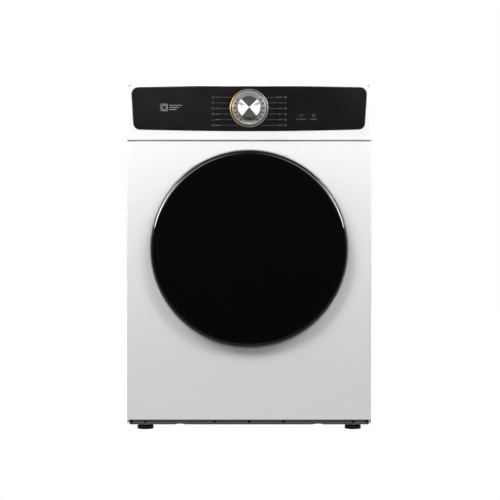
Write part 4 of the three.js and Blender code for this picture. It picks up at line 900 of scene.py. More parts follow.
def floor_paint(base):
    """Matt studio floor, lit from below as a light table."""
    f = Finish("studio_floor", base, 0.85, Specular_IOR_Level=0.1)
    f.shade(f.noise(1.2, 3.0), 0.01)
    f.shader.inputs["Emission Color"].default_value = (1, 1, 1, 1)
    glow = f.spread(f.axes()["Y"], FRONT - 1.2, FRONT + 1.2, 0.2, 0.6)
    seen = f.add("ShaderNodeLightPath").outputs["Is Camera Ray"]
    f.feed(f.shader.inputs["Emission Strength"], f.math("MAXIMUM", glow, seen))
    return f.relief(f.noise(30.0, 4.0), 0.01, 0.2 * MM)


STEEL = (0.62, 0.62, 0.61)
SLOT_FINISHES = {
    "galvanised": (zinc, (0.5, 0.51, 0.52)),
    "stainless": (plated_steel, (0.68, 0.68, 0.67)),
    "grey_plastic": (moulded, "grey_moulding", (0.33, 0.34, 0.35)),
    "black_plastic": (moulded, "black_moulding", (0.018, 0.018, 0.02)),
    "pale_plastic": (moulded, "pale_moulding", (0.62, 0.62, 0.61), 0.4),
    "seal_rubber": (rubber, "seal_rubber", (0.022, 0.022, 0.023)),
    "foot_rubber": (rubber, "foot_rubber", (0.022, 0.022, 0.023)),
    "felt": (wool_felt, (0.24, 0.23, 0.21)),
    "bronze": (sintered_bronze, (0.5, 0.33, 0.16)),
    "circuit_board": (circuit_board, (0.015, 0.1, 0.045)),
}


def slot_finish(slot):
    """The finish of a plain part in a record slot."""
    return finish(*SLOT_FINISHES[slot])


# ---- Cabinet ----


def make_front_panel(s):
    """The front sheet with its rolled door recess, its upright bends and its slots."""
    bottom, top = low("front_panel").z, high("front_panel").z
    half, back = high("front_panel").x, high("front_panel").y
    flat_half = half - s.edge
    dish, roll = high("door_ring").x + s.dish_margin, s.dish_roll
    depth, opening = 7 * MM, 177 * MM
    lean = 65  # degrees that the recess is rolled over
    rings = [(dish + 2 * MM, FRONT), (dish + 1 * MM, FRONT)]
    rings += arc(dish, FRONT + roll, -roll, 90, 90 - lean, 8, -roll)
    r, y = rings[-1]
    drop = depth - (y - FRONT) - 1.2 * MM
    foot = r - drop / math.tan(math.radians(lean))
    floor = FRONT + depth
    rings += [(foot, y + drop), (foot - 1.4 * MM, floor), (foot - 4 * MM, floor), (opening + 2 * MM, floor),
              (opening, floor), (opening - 0.6 * MM, floor + 0.6 * MM)]
    bm = bmesh.new()
    count = 256
    turns = [2 * math.pi * (i + 0.5) / count for i in range(count)]

    def on_border(a):
        dx, dz = math.cos(a), math.sin(a)
        reach = min(flat_half / abs(dx), ((top if dz > 0 else bottom) - DOOR.z) / dz)
        return dx * reach, DOOR.z + dz * reach

    border = [on_border(a) for a in turns]
    for corner in ((flat_half, top), (-flat_half, top), (-flat_half, bottom), (flat_half, bottom)):
        nearest = min(range(count), key=lambda i: math.dist(border[i], corner))
        border[nearest] = corner
    loops = [[bm.verts.new((x, FRONT, z)) for x, z in border]]
    for r, y in rings:
        loops.append([bm.verts.new((r * math.cos(a), y, DOOR.z + r * math.sin(a))) for a in turns])
    bridge(bm, loops)
    bend = [(s.edge * out, s.edge * deep) for out, deep in quarter_turn(8)[1:]] + [(s.edge, back - FRONT)]
    for side in (-1, 1):
        edge = sorted((v for v in loops[0] if abs(v.co.x - side * flat_half) < 1e-7), key=lambda v: v.co.z)
        rows = [edge]
        for out, deep in bend:
            rows.append([bm.verts.new((side * (flat_half + out), FRONT + deep, v.co.z)) for v in edge])
        bridge(bm, rows, closed=False)
    bmesh.ops.recalc_face_normals(bm, faces=bm.faces)
    if max(bm.faces, key=lambda f: f.calc_area()).normal.y > 0:
        bmesh.ops.reverse_faces(bm, faces=bm.faces)
    sheet = loose(mesh_of(bm, outward=False))
    wall = sheet.modifiers.new("wall", "SOLIDIFY")
    wall.thickness, wall.offset = SHEET, -1.0
    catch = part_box("door_catch")
    near, far = floor - 2 * MM, floor + 3 * MM
    slots = [block((catch[0].x + 3 * MM, near, catch[0].z + 3 * MM),
                   (catch[1].x - 3 * MM, far, catch[1].z - 3 * MM))]
    arm = low("hinge_bracket").x
    for level in hinge_levels():
        slots.append(block((arm - 1.5 * MM, near, level - 3 * MM), (arm + 10.5 * MM, far, level + 3 * MM)))
    made = piece("front_panel_finished", cut(evaluated(sheet), *slots), finish(enamel, s.enamel), 40)
    placed(made, "cabinet", "white_paint", "front_panel")


def hinge_levels():
    """Heights of the hinge's two arms."""
    centre, reach = middle("hinge_bracket").z, 28 * MM
    return [centre - reach, centre + reach]


def make_side_panels(s):
    """Both side sheets, each with a shallow pressed field."""
    for side, node in ((-1, "side_panel_left"), (1, "side_panel_right")):
        lowest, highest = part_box(node)
        centre = ((lowest.y + highest.y) / 2, (lowest.z + highest.z) / 2)
        half_y, half_z = (highest.y - lowest.y) / 2, (highest.z - lowest.z) / 2
        outer = max(abs(lowest.x), abs(highest.x))

        def at(inset, x, radius):
            points = rectangle(half_y - inset, half_z - inset, radius)
            return [(side * x, centre[0] + u, centre[1] + v) for u, v in points]

        field, press = 38 * MM, 1.1 * MM
        loops = [at(0, outer - SHEET, 1 * MM), at(0, outer - 0.5 * MM, 1 * MM), at(0.4 * MM, outer, 1 * MM)]
        loops += [at(field - 4 * MM, outer, 26 * MM), at(field, outer, 22 * MM)]
        for i in range(1, 6):
            a = math.pi * i / 5
            loops.append(at(field + 5 * MM * i / 5, outer - press * (1 - math.cos(a)) / 2, 22 * MM))
        loops.append(at(field + 9 * MM, outer - press, 20 * MM))
        sheet = loft(loops)
        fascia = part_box("control_panel")
        space = block(
            (side * (outer - 20 * MM) - 30 * MM, fascia[0].y, fascia[0].z - 0.4 * MM),
            (side * (outer - 20 * MM) + 30 * MM, fascia[1].y + 0.4 * MM, fascia[1].z),
        )
        made = piece(f"{node}_finished", cut(sheet, space), finish(enamel, s.enamel))
        placed(made, "cabinet", "white_paint", node)


def make_worktop(s):
    """The worktop: a moulded slab with rounded upper corners and a lip over the control panel."""
    lowest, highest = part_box("worktop")
    half = highest.x
    edge = 1.6 * MM

    def at(inset, y):
        r = s.worktop_corner - inset
        points = outline(half - inset, half - inset, lowest.z + inset, highest.z - inset, r, 1.7 * MM - inset)
        return at_depth(points, y)

    turn = quarter_turn(5)
    loops = [at(edge * 1.02, lowest.y)]
    loops += [at(edge * (1 - risen), lowest.y + edge * fallen) for risen, fallen in turn]
    loops += [at(edge * fallen, highest.y - edge * (1 - risen)) for risen, fallen in turn]
    fascia = high("control_panel")
    space = block((-half - 5 * MM, lowest.y - 5 * MM, lowest.z - 5 * MM),
                  (half + 5 * MM, fascia.y + 0.4 * MM, fascia.z + 0.4 * MM))
    made = piece("worktop_finished", cut(loft(loops), space), finish(moulded_white, s.moulding))
    placed(made, "cabinet", "white_plastic", "worktop")


def make_base(s):
    """The base tray with its punched skirt."""
    lowest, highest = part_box("base_tray")
    wall = 2 * MM
    floor = lowest.z + 4 * MM
    tray = cut(
        block(lowest, highest, 1.2 * MM, 3),
        block((lowest.x + wall, lowest.y + wall, floor),
              (highest.x - wall, highest.y - wall, highest.z + wall)),
        block((lowest.x + wall, lowest.y + wall, lowest.z - wall),
              (highest.x - wall, highest.y - wall, lowest.z + wall)),
    )
    level = lowest.z + 7.5 * MM
    through = (lowest.y - wall, lowest.y + 2 * wall)
    holes = [rod((x, through[0], level), (x, through[1], level), 3.5 * MM)
             for x in (-253 * MM, -84 * MM, 0, 84 * MM, 253 * MM)]
    notches = [block((x - 2.5 * MM, through[0], floor), (x + 2.5 * MM, through[1], floor + 9 * MM))
               for x in (-286 * MM, 286 * MM)]
    arches = [rod((x, through[0], lowest.z - 46 * MM), (x, through[1], lowest.z - 46 * MM), 48 * MM, ROUND)
              for x in (-168 * MM, 168 * MM)]
    studs = [rod((*spot, lowest.z - wall), (*spot, floor + wall), 5.6 * MM)
             for spot in (middle(n).xy for n in FEET)]
    vents = [block((x - 2 * MM, lowest.y + 60 * MM, lowest.z),
                   (x + 2 * MM, lowest.y + 130 * MM, floor + wall))
             for x in (i * 9 * MM for i in range(-20, -9))]
    made = piece("base_tray_finished", cut(tray, *holes, *notches, *arches, *studs, *vents),
                 finish(base_paint, s.skirt))
    placed(made, "cabinet", "base_steel", "base_tray")


FEET = ("foot_front_left", "foot_front_right", "foot_rear_left", "foot_rear_right")


def make_feet(_):
    """Four levelling feet: a ribbed rubber pad, a lock nut and a threaded stud."""
    for node in FEET:
        lowest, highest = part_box(node)
        x, y = middle(node).xy
        radius, top = half_width(node), highest.z - lowest.z
        pad = [(0, 0), (radius - 2 * MM, 0), (radius - 0.6 * MM, 0.5 * MM), (radius, 2 * MM)]
        for z in (2 * MM, 4 * MM, 6 * MM):
            pad += [(radius, z + 0.9 * MM), (radius - 0.7 * MM, z + 1.3 * MM),
                    (radius - 0.7 * MM, z + 1.7 * MM),
                    (radius, z + 2 * MM)]
        pad += [(radius - 1.5 * MM, 8.8 * MM), (9 * MM, 9 * MM), (0, 9 * MM)]
        crest, root, pitch = 5 * MM, 4.1 * MM, 1.5 * MM
        z = 13.6 * MM
        stud = [(0, 8.5 * MM), (root, 8.5 * MM), (root, z)]
        while z + pitch < top - MM:
            stud += [(crest, z + pitch / 2), (root, z + pitch)]
            z += pitch
        stud += [(crest * 0.7, top), (0, top)]
        upright = Matrix.Translation((x, y, lowest.z)) @ Matrix.Rotation(math.pi / 2, 4, "X")
        rubber_pad = moved(revolved(pad, Vector(), ROUND), upright)
        screw = moved(revolved(stud, Vector(), SMALL), upright)
        nut = bevelled(rod((x, y, 8.6 * MM), (x, y, 13.5 * MM), 8.5 * MM, 6), 0.5 * MM)
        body = frame["nodes"][node]["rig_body"]
        placed(piece(f"{node}_pad", rubber_pad, slot_finish("foot_rubber")), body, "foot_rubber", node)
        placed(piece(f"{node}_stud", joined(screw, nut), slot_finish("stainless")), body, "stainless")


def make_rear_panel(s):
    """The rear panel with its slots, its louvres and every screw of the back."""
    lowest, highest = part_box("rear_panel")
    vent, gland = middle("vent_collar"), middle("cord_gland")
    zinc_sheet = slot_finish("galvanised")
    centre = middle("rear_panel").xz
    half_x, half_z = (highest.x - lowest.x) / 2, (highest.z - lowest.z) / 2
    sheet = slab(lambda inset: rectangle(half_x - inset, half_z - inset, 4 * MM), lowest.y, highest.y,
                 0.3 * MM, 2, centre)
    through = (lowest.y - 2 * MM, highest.y + 2 * MM)
    holes = [
        rod((vent.x, through[0], vent.z), (vent.x, through[1], vent.z), 51.4 * MM, ROUND),
        rod((gland.x, through[0], gland.z), (gland.x, through[1], gland.z), 9 * MM),
        rod((DRUM.x, through[0], DRUM.z), (DRUM.x, through[1], DRUM.z), 16 * MM),
    ]
    slot_radius = 145 * MM
    for i in range(10):
        window = block((-34 * MM, through[0], slot_radius - 14 * MM),
                       (34 * MM, through[1], slot_radius + 14 * MM))
        turn = Matrix.Translation((DRUM.x, 0, DRUM.z)) @ Matrix.Rotation(2 * math.pi * i / 10, 4, "Y")
        holes.append(moved(window, turn))
    panel = cut(sheet, *holes)
    hoods = []
    for x, z, count in ((-215 * MM, 190 * MM, 9), (40 * MM, 60 * MM, 6)):
        start = points_mesh([(x, highest.y - 0.4 * MM, z)])
        hoods.append(grown(louvres_pattern, start, zinc_sheet, Count=count, Pitch=11 * MM, Width=74 * MM,
                           Height=3.2 * MM,
                           Depth=2.4 * MM))
    made = piece("rear_panel_finished", joined(panel, *hoods), zinc_sheet)
    placed(made, "cabinet", "galvanised", "rear_panel")
    inset = 9 * MM
    spots = [(x, z) for x in (lowest.x + inset, highest.x - inset)
             for z in (lowest.z + inset + i * (2 * half_z - 2 * inset) / 5 for i in range(6))]
    spots += [(x, z) for x in (-140 * MM, 0, 140 * MM) for z in (lowest.z + inset, highest.z - inset)]
    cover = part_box("heater_cover")
    reach = (cover[1].x - cover[0].x) / 2 - 5 * MM
    around = [math.radians(a) for a in (20, 60, 100, 140, 180, 220, 260)]
    spots_cover = [(DRUM.x + reach * math.cos(a), DRUM.z + reach * math.sin(a)) for a in around]
    spots_cover += [(x, cover[0].z + 60 * MM) for x in (55 * MM, 195 * MM)]
    flange = 56.5 * MM
    spots_vent = [(vent.x + flange * math.cos(a), vent.z + flange * math.sin(a))
                  for a in (math.radians(45 + 90 * i) for i in range(4))]
    face = highest.y
    points = [(x, face + 0.4 * MM, z) for x, z in spots]
    points += [(x, cover[0].y + 1.5 * MM, z) for x, z in spots_cover]
    points += [(x, face + 3.8 * MM, z) for x, z in spots_vent]
    screws("rear_screws", points, "cabinet", Radius=s.screw_head)


def make_heater_cover(_):
    """The pressed cover over the heater: a round pan and the channel that feeds it."""
    face, back = low("heater_cover").y, high("heater_cover").y
    cover, bottom = high("heater_cover"), low("heater_cover").z
    radius = cover.x - DRUM.x - 10 * MM
    edge = 7 * MM
    left, right = 60 * MM, 190 * MM
    channel_bottom = bottom + 10 * MM

    def pan(r, y, roll):
        profile = [(0, face - MM), (r, face - MM)]
        profile += arc(r - roll, y - roll, roll, 0, 90, 6)
        profile += [(r - roll - 4 * MM, y), (r * 0.62, y), (r * 0.6, y - 1.2 * MM), (r * 0.25, y - 1.2 * MM),
                    (r * 0.23, y), (0, y)]
        return revolved(profile, DRUM, FINE)

    def channel(inset, y, roll):
        half_x = (right - left) / 2 - inset
        half_z = (DRUM.z - channel_bottom) / 2 - inset
        centre = ((left + right) / 2, (DRUM.z + channel_bottom) / 2)
        return slab(lambda i: rectangle(half_x - i, half_z - i, 9 * MM), face - MM, y, roll, 6, centre)

    outer = united(pan(radius, back, edge), channel(0, back, edge))
    outer = cut(outer, block((-1, face - 5 * MM, 0), (1, face, 1)))
    flange_profile = [(radius - 2 * MM, face), (radius + 10 * MM, face), (radius + 10 * MM, face + 0.9 * MM),
                      (radius - 2 * MM, face + 0.9 * MM)]
    foot = block((left - 10 * MM, face, bottom), (right + 10 * MM, face + 0.9 * MM, DRUM.z - radius * 0.8),
                 0.3 * MM)
    outer = united(outer, revolved(flange_profile, DRUM, FINE), foot)
    slots = [block((x, face + 8 * MM, channel_bottom - 2 * MM),
                   (x + 8 * MM, back - 8 * MM, channel_bottom + 4 * MM))
             for x in (left + (14 + 16 * i) * MM for i in range(7))]
    made = piece("heater_cover_finished", cut(outer, *slots), slot_finish("galvanised"))
    placed(made, "cabinet", "galvanised", "heater_cover")


def make_vent_collar(s):
    """The exhaust collar with a rolled lip and two hose ribs."""
    lowest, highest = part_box("vent_collar")
    centre = middle("vent_collar")
    face = high("rear_panel").y + 0.3 * MM
    bore, tube, flange = 48.5 * MM, 51 * MM, (highest.x - lowest.x) / 2
    end = highest.y
    profile = [(bore, lowest.y), (tube, lowest.y), (tube, face), (flange - MM, face), (flange, face + MM)]
    profile += [(flange, face + 2.2 * MM), (flange - 0.8 * MM, face + 3 * MM), (tube + 2 * MM, face + 3 * MM),
                (tube + 0.6 * MM, face + 3.6 * MM), (tube - 0.8 * MM, face + 5 * MM)]
    for y in (end - 16 * MM, end - 7 * MM):
        profile += [(tube - 0.8 * MM, y - 1.6 * MM), (tube - 0.1 * MM, y - 0.6 * MM), (tube, y),
                    (tube - 0.1 * MM, y + 0.6 * MM), (tube - 0.8 * MM, y + 1.6 * MM)]
    profile += [(tube - 0.9 * MM, end - 1.2 * MM), (tube - 1.4 * MM, end), (bore + 0.4 * MM, end),
                (bore, end - 0.8 * MM)]
    made = piece("vent_collar_finished", revolved(profile, centre, 128), finish(moulded_white, s.moulding),
                 50)
    placed(made, "cabinet", "white_plastic", "vent_collar")


def make_gland(_):
    """The empty inlet for the mains cord."""
    lowest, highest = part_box("cord_gland")
    centre = middle("cord_gland")
    bore, neck, flange = 4.5 * MM, 8.7 * MM, (highest.x - lowest.x) / 2
    face = high("rear_panel").y + 0.3 * MM
    profile = [(bore, lowest.y), (neck, lowest.y), (neck, face), (flange - 0.5 * MM, face),
               (flange, face + 0.6 * MM),
               (flange, face + 2.4 * MM), (flange - 1.6 * MM, highest.y), (bore + MM, highest.y),
               (bore, highest.y - MM)]
    body = revolved(profile, centre, 48)
    grip = spokes(slot_finish("black_plastic"), (centre.x, highest.y - 0.1 * MM, centre.z), 12, math.pi / 6,
                  9.6 * MM, (3 * MM, 1.2 * MM, 0.9 * MM))
    made = piece("cord_gland_finished", joined(body, grip), slot_finish("black_plastic"))
    placed(made, "cabinet", "black_plastic", "cord_gland")


# ---- Control panel ----


def window_outline(s, inset):
    lowest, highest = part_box("fascia_window")
    margin = 0.4 * MM
    top = highest.z - s.top_bow + margin - inset
    bottom = lowest.z + s.bottom_bow - margin + inset
    top_half = highest.x + margin - inset
    lean = 4.5 * MM
    r = s.window_corner - inset
    return outline(top_half, top_half - lean, bottom, top, r, r, (s.top_bow, s.bottom_bow), 14)


def make_control_panel(s, cabinet):
    """The white moulding with its window opening, rounded all round."""
    lowest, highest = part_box("control_panel")
    half, wall, edge, lip = highest.x, 2.5 * MM, 2.6 * MM, 0.7 * MM
    front, back = lowest.y, highest.y

    def rim(inset, y):
        top_r, bottom_r = s.corner - inset, max(3 * MM - inset, 0.3 * MM)
        points = outline(half - inset, half - inset, lowest.z + inset, highest.z - inset, top_r, bottom_r,
                         steps=14)
        return at_depth(points, y)

    def opening(inset, y):
        return at_depth(window_outline(s, inset), y)

    loops = [rim(0, back)]
    loops += [rim(edge * fallen, front + edge * (1 - risen)) for risen, fallen in quarter_turn(7)]
    loops += [rim(edge + 0.6 * MM, front), opening(-lip - 0.5 * MM, front)]
    loops += [opening(-lip * (1 - risen), front + lip * fallen) for risen, fallen in quarter_turn(4)]
    loops += [opening(0, front + wall), rim(wall, front + wall), rim(wall, back)]
    made = piece("control_panel_finished", loft(loops, around=True), finish(moulded_white, cabinet.moulding),
                 40)
    placed(made, "cabinet", "white_plastic", "control_panel")


def make_window(s):
    """The smoked black window."""
    lowest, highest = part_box("fascia_window")
    plate = slab(lambda inset: window_outline(s, inset + 0.4 * MM), highest.y, lowest.y, 0.9 * MM, 6)
    made = piece("fascia_window_finished", plate, finish(window_black, s.window), 40)
    placed(made, "cabinet", "black_gloss", "fascia_window")


def stroke(points, width, y, closed=False):
    """A flat printed line of even width along points in X and Z."""
    count = len(points)
    inner, outer = [], []
    for i, (x, z) in enumerate(points):
        before = points[i - 1] if closed or i else points[0]
        after = points[(i + 1) % count] if closed or i + 1 < count else points[-1]
        dx, dz = after[0] - before[0], after[1] - before[1]
        size = math.hypot(dx, dz) or 1
        nx, nz = -dz / size * width / 2, dx / size * width / 2
        inner.append((x + nx, z + nz))
        outer.append((x - nx, z - nz))
    bm = bmesh.new()
    rows = [[bm.verts.new((x, depth, z)) for x, z in side] for side in (inner, outer)
            for depth in (y, y - 0.1 * MM)]
    bottom_in, top_in, bottom_out, top_out = rows
    steps = range(count if closed else count - 1)
    for i in steps:
        j = (i + 1) % count
        for a, b in ((top_in, top_out), (top_out, bottom_out), (bottom_out, bottom_in), (bottom_in, top_in)):
            bm.faces.new((a[i], a[j], b[j], b[i]))
    if not closed:
        for i in (0, count - 1):
            bm.faces.new((top_in[i], top_out[i], bottom_out[i], bottom_in[i]))
    return mesh_of(bm)


def word(x, z, width, height, y, seed):
    """A greeked word: a row of short upright strokes and small rings that spell nothing."""
    marks = []
    chance = random.Random(seed)
    step = height * 0.78
    at = x
    while at < x + width - step * 0.5:
        kind = chance.choice(("bar", "ring", "ring", "bow"))
        if kind == "bar":
            marks.append(stroke([(at + step * 0.3, z - height / 2), (at + step * 0.3, z + height * 0.75)],
                                height * 0.17, y))
            at += step * 0.62
        elif kind == "ring":
            points = [(at + step * 0.42 + px, z + pz) for px, pz in arc(0, 0, height * 0.34, 0, 330, 11)]
            marks.append(stroke(points, height * 0.16, y, closed=True))
            at += step * 1.02
        else:
            points = [(at + step * 0.42 + px, z + pz) for px,
                      pz in arc(0, -height * 0.1, height * 0.34, 0, 180, 8)]
            marks.append(stroke(points, height * 0.17, y))
            at += step * 1.0
    return marks


# Each row: where the left word and the right word reach, from the dial's centre, and its symbol.
SCALE_ROWS = (
    (-71.3, 65.8, "drop"), (-77.5, 72.0, "cross"), (-69.0, 69.6, "shirt"),
    (-73.2, 69.5, "disc"), (-66.8, 69.5, "hanger"), (-70.0, 68.0, "wave"),
)


def symbol(kind, x, z, size, width, y):
    """A small generic pictogram."""
    shapes = {
        "drop": [arc(0, -0.1, 0.36, -200, 20, 10) + [(0, 0.55)]],
        "cross": [[(-0.4, 0.4), (0.4, -0.4)], [(-0.4, -0.1), (0.1, 0.4)]],
        "shirt": [[(-0.5, 0.2), (-0.2, 0.45), (0.2, 0.45), (0.5, 0.2), (0.3, 0.05), (0.3, -0.45),
                   (-0.3, -0.45),
                   (-0.3, 0.05)]],
        "disc": [arc(0, 0, 0.42, 0, 330, 11), arc(0, 0, 0.14, 0, 330, 7)],
        "hanger": [[(0, 0.4), (0.08, 0.2), (0.5, -0.25), (-0.5, -0.25), (-0.08, 0.2)]],
        "wave": [[(-0.5 + i / 8, 0.16 * math.sin(i * 1.57) + level) for i in range(9)]
                 for level in (-0.2, 0.2)],
        "clock": [arc(0, 0, 0.42, 0, 330, 11), [(0, 0.26), (0, 0), (0.2, -0.1)]],
        "fold": [[(-0.5, 0.35), (-0.12, 0), (-0.5, -0.35)], [(0.5, 0.35), (0.12, 0), (0.5, -0.35)]],
        "power": [arc(0, 0, 0.42, 120, 420, 12), [(0, 0.5), (0, 0.1)]],
    }
    closed = kind in ("drop", "shirt", "disc", "hanger")
    return [
        stroke([(x + px * size, z + pz * size) for px, pz in points], width, y,
               closed or (kind == "clock" and len(points) > 3))
        for points in shapes[kind]
    ]


def make_prints(s):
    """The printed scale round the dial, the two touch keys and a plain symbol at the left."""
    y = low("fascia_window").y + 0.02 * MM
    marks = []
    first = DIAL.z + 26.5 * MM
    reach = 50 * MM
    for i, (left, right, kind) in enumerate(SCALE_ROWS):
        z = first - i * s.row_pitch
        half = math.sqrt(reach**2 - (z - DIAL.z) ** 2)
        marks += symbol(kind, -88 * MM, z, 5.2 * MM, s.stroke * 0.8, y)
        marks += word(-82.8 * MM, z, (left + 82.8) * MM, 2 * MM, y, 10 + i)
        marks.append(stroke([((left + 2.5) * MM, z), (-half, z)], s.stroke * 0.55, y))
        marks.append(stroke([(half, z), ((right - 1.5) * MM, z)], s.stroke * 0.55, y))
        marks += word(right * MM, z, (81 - right) * MM, 2 * MM, y, 20 + i)
        marks += symbol(SCALE_ROWS[-1 - i][2] if i < 3 else "clock", 88 * MM, z, 5.2 * MM, s.stroke * 0.8, y)
    keys = (("fold", 126.5, 25), ("power", 157, 16))
    for kind, x, width in keys:
        marks += symbol(kind, x * MM, DIAL.z - 17.5 * MM, 8.5 * MM, s.stroke, y)
        marks += word((x - width / 2) * MM, DIAL.z - 27 * MM, width * MM, 2.1 * MM, y, int(x))
    made = piece("printed_scale", joined(*marks), finish(printed, "scale_ink", s.ink))
    placed(made, "cabinet", "black_gloss")
    centre = (-206 * MM, DIAL.z + 2 * MM)
    square = [(centre[0] + x, centre[1] + z) for x, z in rectangle(8 * MM, 8 * MM, 1.4 * MM)]
    circle = [(centre[0] + x, centre[1] + z) for x, z in arc(0, 0, 5.4 * MM, 0, 352.5, 47)]
    sign = [stroke(square, 0.9 * MM, y, True), stroke(circle, 0.9 * MM, y, True)]
    for i, width in enumerate((31, 24, 17)):
        z = centre[1] + (5 - 5 * i) * MM
        points = [(-193.5 * MM + t * width * MM / 24, z + 0.75 * MM * math.sin(t * math.pi / 4))
                  for t in range(25)]
        sign.append(stroke(points, 0.95 * MM, y))
    made = piece("printed_sign", joined(*sign), finish(printed, "sign_ink", s.mark))
    placed(made, "cabinet", "black_gloss")


# ---- Dial ----


def make_dial(s):
    """The light guide, the satin ring with its ticks and the spun knob."""
    seat = high("dial_halo").y
    outer = half_width("dial_halo")
    front = low("dial_halo").y
    inner = outer - 2.1 * MM
    mid = (inner + outer) / 2
    guide = [(inner, seat), (outer, seat), (outer, front + 0.9 * MM)]
    guide += arc(mid, front + 0.9 * MM, (outer - inner) / 2, 0, -180, 10, 0.9 * MM)[1:]
    made = piece("dial_light_guide", revolved(guide, DIAL), finish(dial_light, s.light), 60)
    placed(made, "cabinet", "dial_light", "dial_halo")
    bezel = half_width("dial_bezel")
    groove = [(bezel + 0.15 * MM, seat), (inner - 0.05 * MM, seat), (inner - 0.05 * MM, seat - 1.2 * MM),
              (bezel + 0.15 * MM, seat - 1.6 * MM)]
    made = piece("dial_groove", revolved(groove, DIAL), slot_finish("black_plastic"))
    placed(made, "cabinet", "black_plastic")
    make_bezel(s, bezel)
    make_knob(s)
    softened("knob_spindle", 0.2 * MM)


def make_bezel(s, radius):
    seat, front = high("dial_bezel").y, low("dial_bezel").y
    bore = 3.6 * MM
    inner = KNOB_RADIUS + 1.6 * MM
    profile = [(bore, seat - 2 * MM), (inner - 1.2 * MM, seat - 2 * MM), (inner, seat - 2.6 * MM)]
    profile += [(inner + 0.3 * MM, front + 1.3 * MM), (inner + 0.9 * MM, front + 0.9 * MM)]
    profile += [(radius - 2.4 * MM, front + 0.25 * MM), (radius - 1.6 * MM, front + 0.05 * MM)]
    profile += arc(radius - 1.2 * MM, front + 1.2 * MM, 1.2 * MM, -90, 0, 6)
    profile += [(radius, seat), (bore, seat)]
    made = piece("dial_ring", revolved(profile, DIAL), finish(satin_ring, s.ring), 40)
    placed(made, "cabinet", "dial_metal", "dial_bezel")
    ink = finish(printed, "tick_ink", (0.012, 0.012, 0.012))
    ticks = [spokes(ink, (DIAL.x, front + 0.36 * MM, DIAL.z), 6, math.radians(step), s.tick_circle,
                    (s.tick_length, s.tick_width, 0.7 * MM), math.radians(start))
             for start, step in ((144, 18), (36, -18))]
    made = piece("dial_ticks", joined(*ticks), ink)
    placed(made, "cabinet", "black_plastic")


def make_knob(s):
    """The knob: a dished spun face, a bright chamfer and a fluted side."""
    back, front = high("program_knob").y, low("program_knob").y
    radius = KNOB_RADIUS
    side = radius - 0.5 * MM
    profile = [(0, back - 8 * MM), (3.4 * MM, back - 8 * MM), (3.4 * MM, back), (side - 1.2 * MM, back)]
    profile += [(side - 0.4 * MM, back - 0.6 * MM), (side - 0.4 * MM, back - 3 * MM), (side, back - 3.6 * MM)]
    profile += [(side - 0.5 * MM, front + 3.4 * MM)]
    profile += [(radius - 0.2 * MM, front + 2.8 * MM), (radius - 0.3 * MM, front + 1.6 * MM),
                (radius - 1.2 * MM, front + 0.35 * MM), (radius - 1.7 * MM, front)]
    profile += [(radius - 2.6 * MM, front), (radius - 3.0 * MM, front + 0.25 * MM)]
    profile += [(radius * t, front + 0.25 * MM + 0.25 * MM * (1 - t * t)) for t in (0.75, 0.5, 0.25)]
    profile += [(0, front + 0.5 * MM)]
    made = piece("program_knob_cap", revolved(profile, DIAL), finish(spun_metal, s.metal, s.shade), 24)
    placed(made, "program_dial", "dial_metal", "program_knob")
    depth = back - front - 9 * MM
    centre = (DIAL.x, (back - 4 * MM + front + 4.6 * MM) / 2, DIAL.z)
    satin = finish(satin_ring, s.ring)
    flutes = spokes(satin, centre, 90, 2 * math.pi / 90, side - 0.3 * MM, (1.0 * MM, 0.8 * MM, depth))
    placed(piece("program_knob_flutes", flutes, satin), "program_dial", "dial_metal")


# ---- Door ----


def rim_profile(s):
    """The rim's section: a flat front that rolls over a nose, a plain side and a rounded back edge."""
    front, back = low("door_ring").y, high("door_ring").y
    base = GLASS_RADIUS + 0.12 * MM
    wall, nose, heel = s.rim_wall, s.rim_nose, s.rim_heel
    profile = [(base, front + 0.1 * MM), (base + 0.1 * MM, front)]
    profile += arc(DOOR_RADIUS - nose, front + nose, nose, -90, 0, 24)
    profile += arc(DOOR_RADIUS - heel, back - heel, heel, 0, 90, 10)
    profile += [(base, back), (base, back - wall)]
    profile += arc(DOOR_RADIUS - heel, back - heel, heel - wall / 2, 90, 0, 6)
    profile += arc(DOOR_RADIUS - nose, front + nose, nose - wall, 0, -90, 12)
    profile += [(base, front + wall)]
    return profile


def arm_slots():
    """Room for the hinge's fixed arms, out to the door's edge."""
    return [
        block((HINGE.x - 40 * MM, HINGE.y - 7.5 * MM, level - 3 * MM),
              (DOOR_RADIUS + 5 * MM, high("door_ring").y + 8 * MM, level + 3 * MM))
        for level in hinge_levels()
    ]


def make_door(s):
    """The door: rim, glass, inner bowl, seal, hook and the moving half of its hinge."""
    back = high("door_ring").y
    grip = block((-DOOR_RADIUS - 5 * MM, back - 16 * MM, DOOR.z - 42 * MM),
                 (20 * MM - DOOR_RADIUS, back + 5 * MM, DOOR.z + 42 * MM), 3 * MM, 4)
    rim = cut(revolved(rim_profile(s), DOOR), grip, *arm_slots())
    made = piece("door_rim", rim, finish(piano_black, "rim_black", s.black, 0.07), 40)
    placed(made, "door", "black_gloss", "door_ring")
    make_glass(s)
    make_bowl(s)
    make_seal(s)
    softened("door_hook", 0.8 * MM)
    softened("hinge_leaf", 0.6 * MM)
    softened("hinge_pin", 0.8 * MM)


def make_glass(s):
    """The door's black glass, domed a little."""
    front, rim_front = low("door_glass").y, low("door_ring").y
    dome = rim_front - front
    edge, thick = GLASS_RADIUS, 3.4 * MM
    crown = [(edge * t, front + dome * t * t) for t in (i / 24 for i in range(24))]
    profile = crown + [(edge - 0.15 * MM, rim_front), (edge, rim_front + 0.15 * MM)]
    profile += [(edge, rim_front + 3.3 * MM)]
    profile += [(edge * t, front + dome * t * t + thick) for t in (0.9, 0.6, 0.3)]
    profile += [(0, front + thick)]
    black = finish(piano_black, "glass_black", s.glass, 0.045)
    made = piece("door_glass_finished", revolved(profile, DOOR), black, 30)
    placed(made, "door", "door_glass", "door_glass")


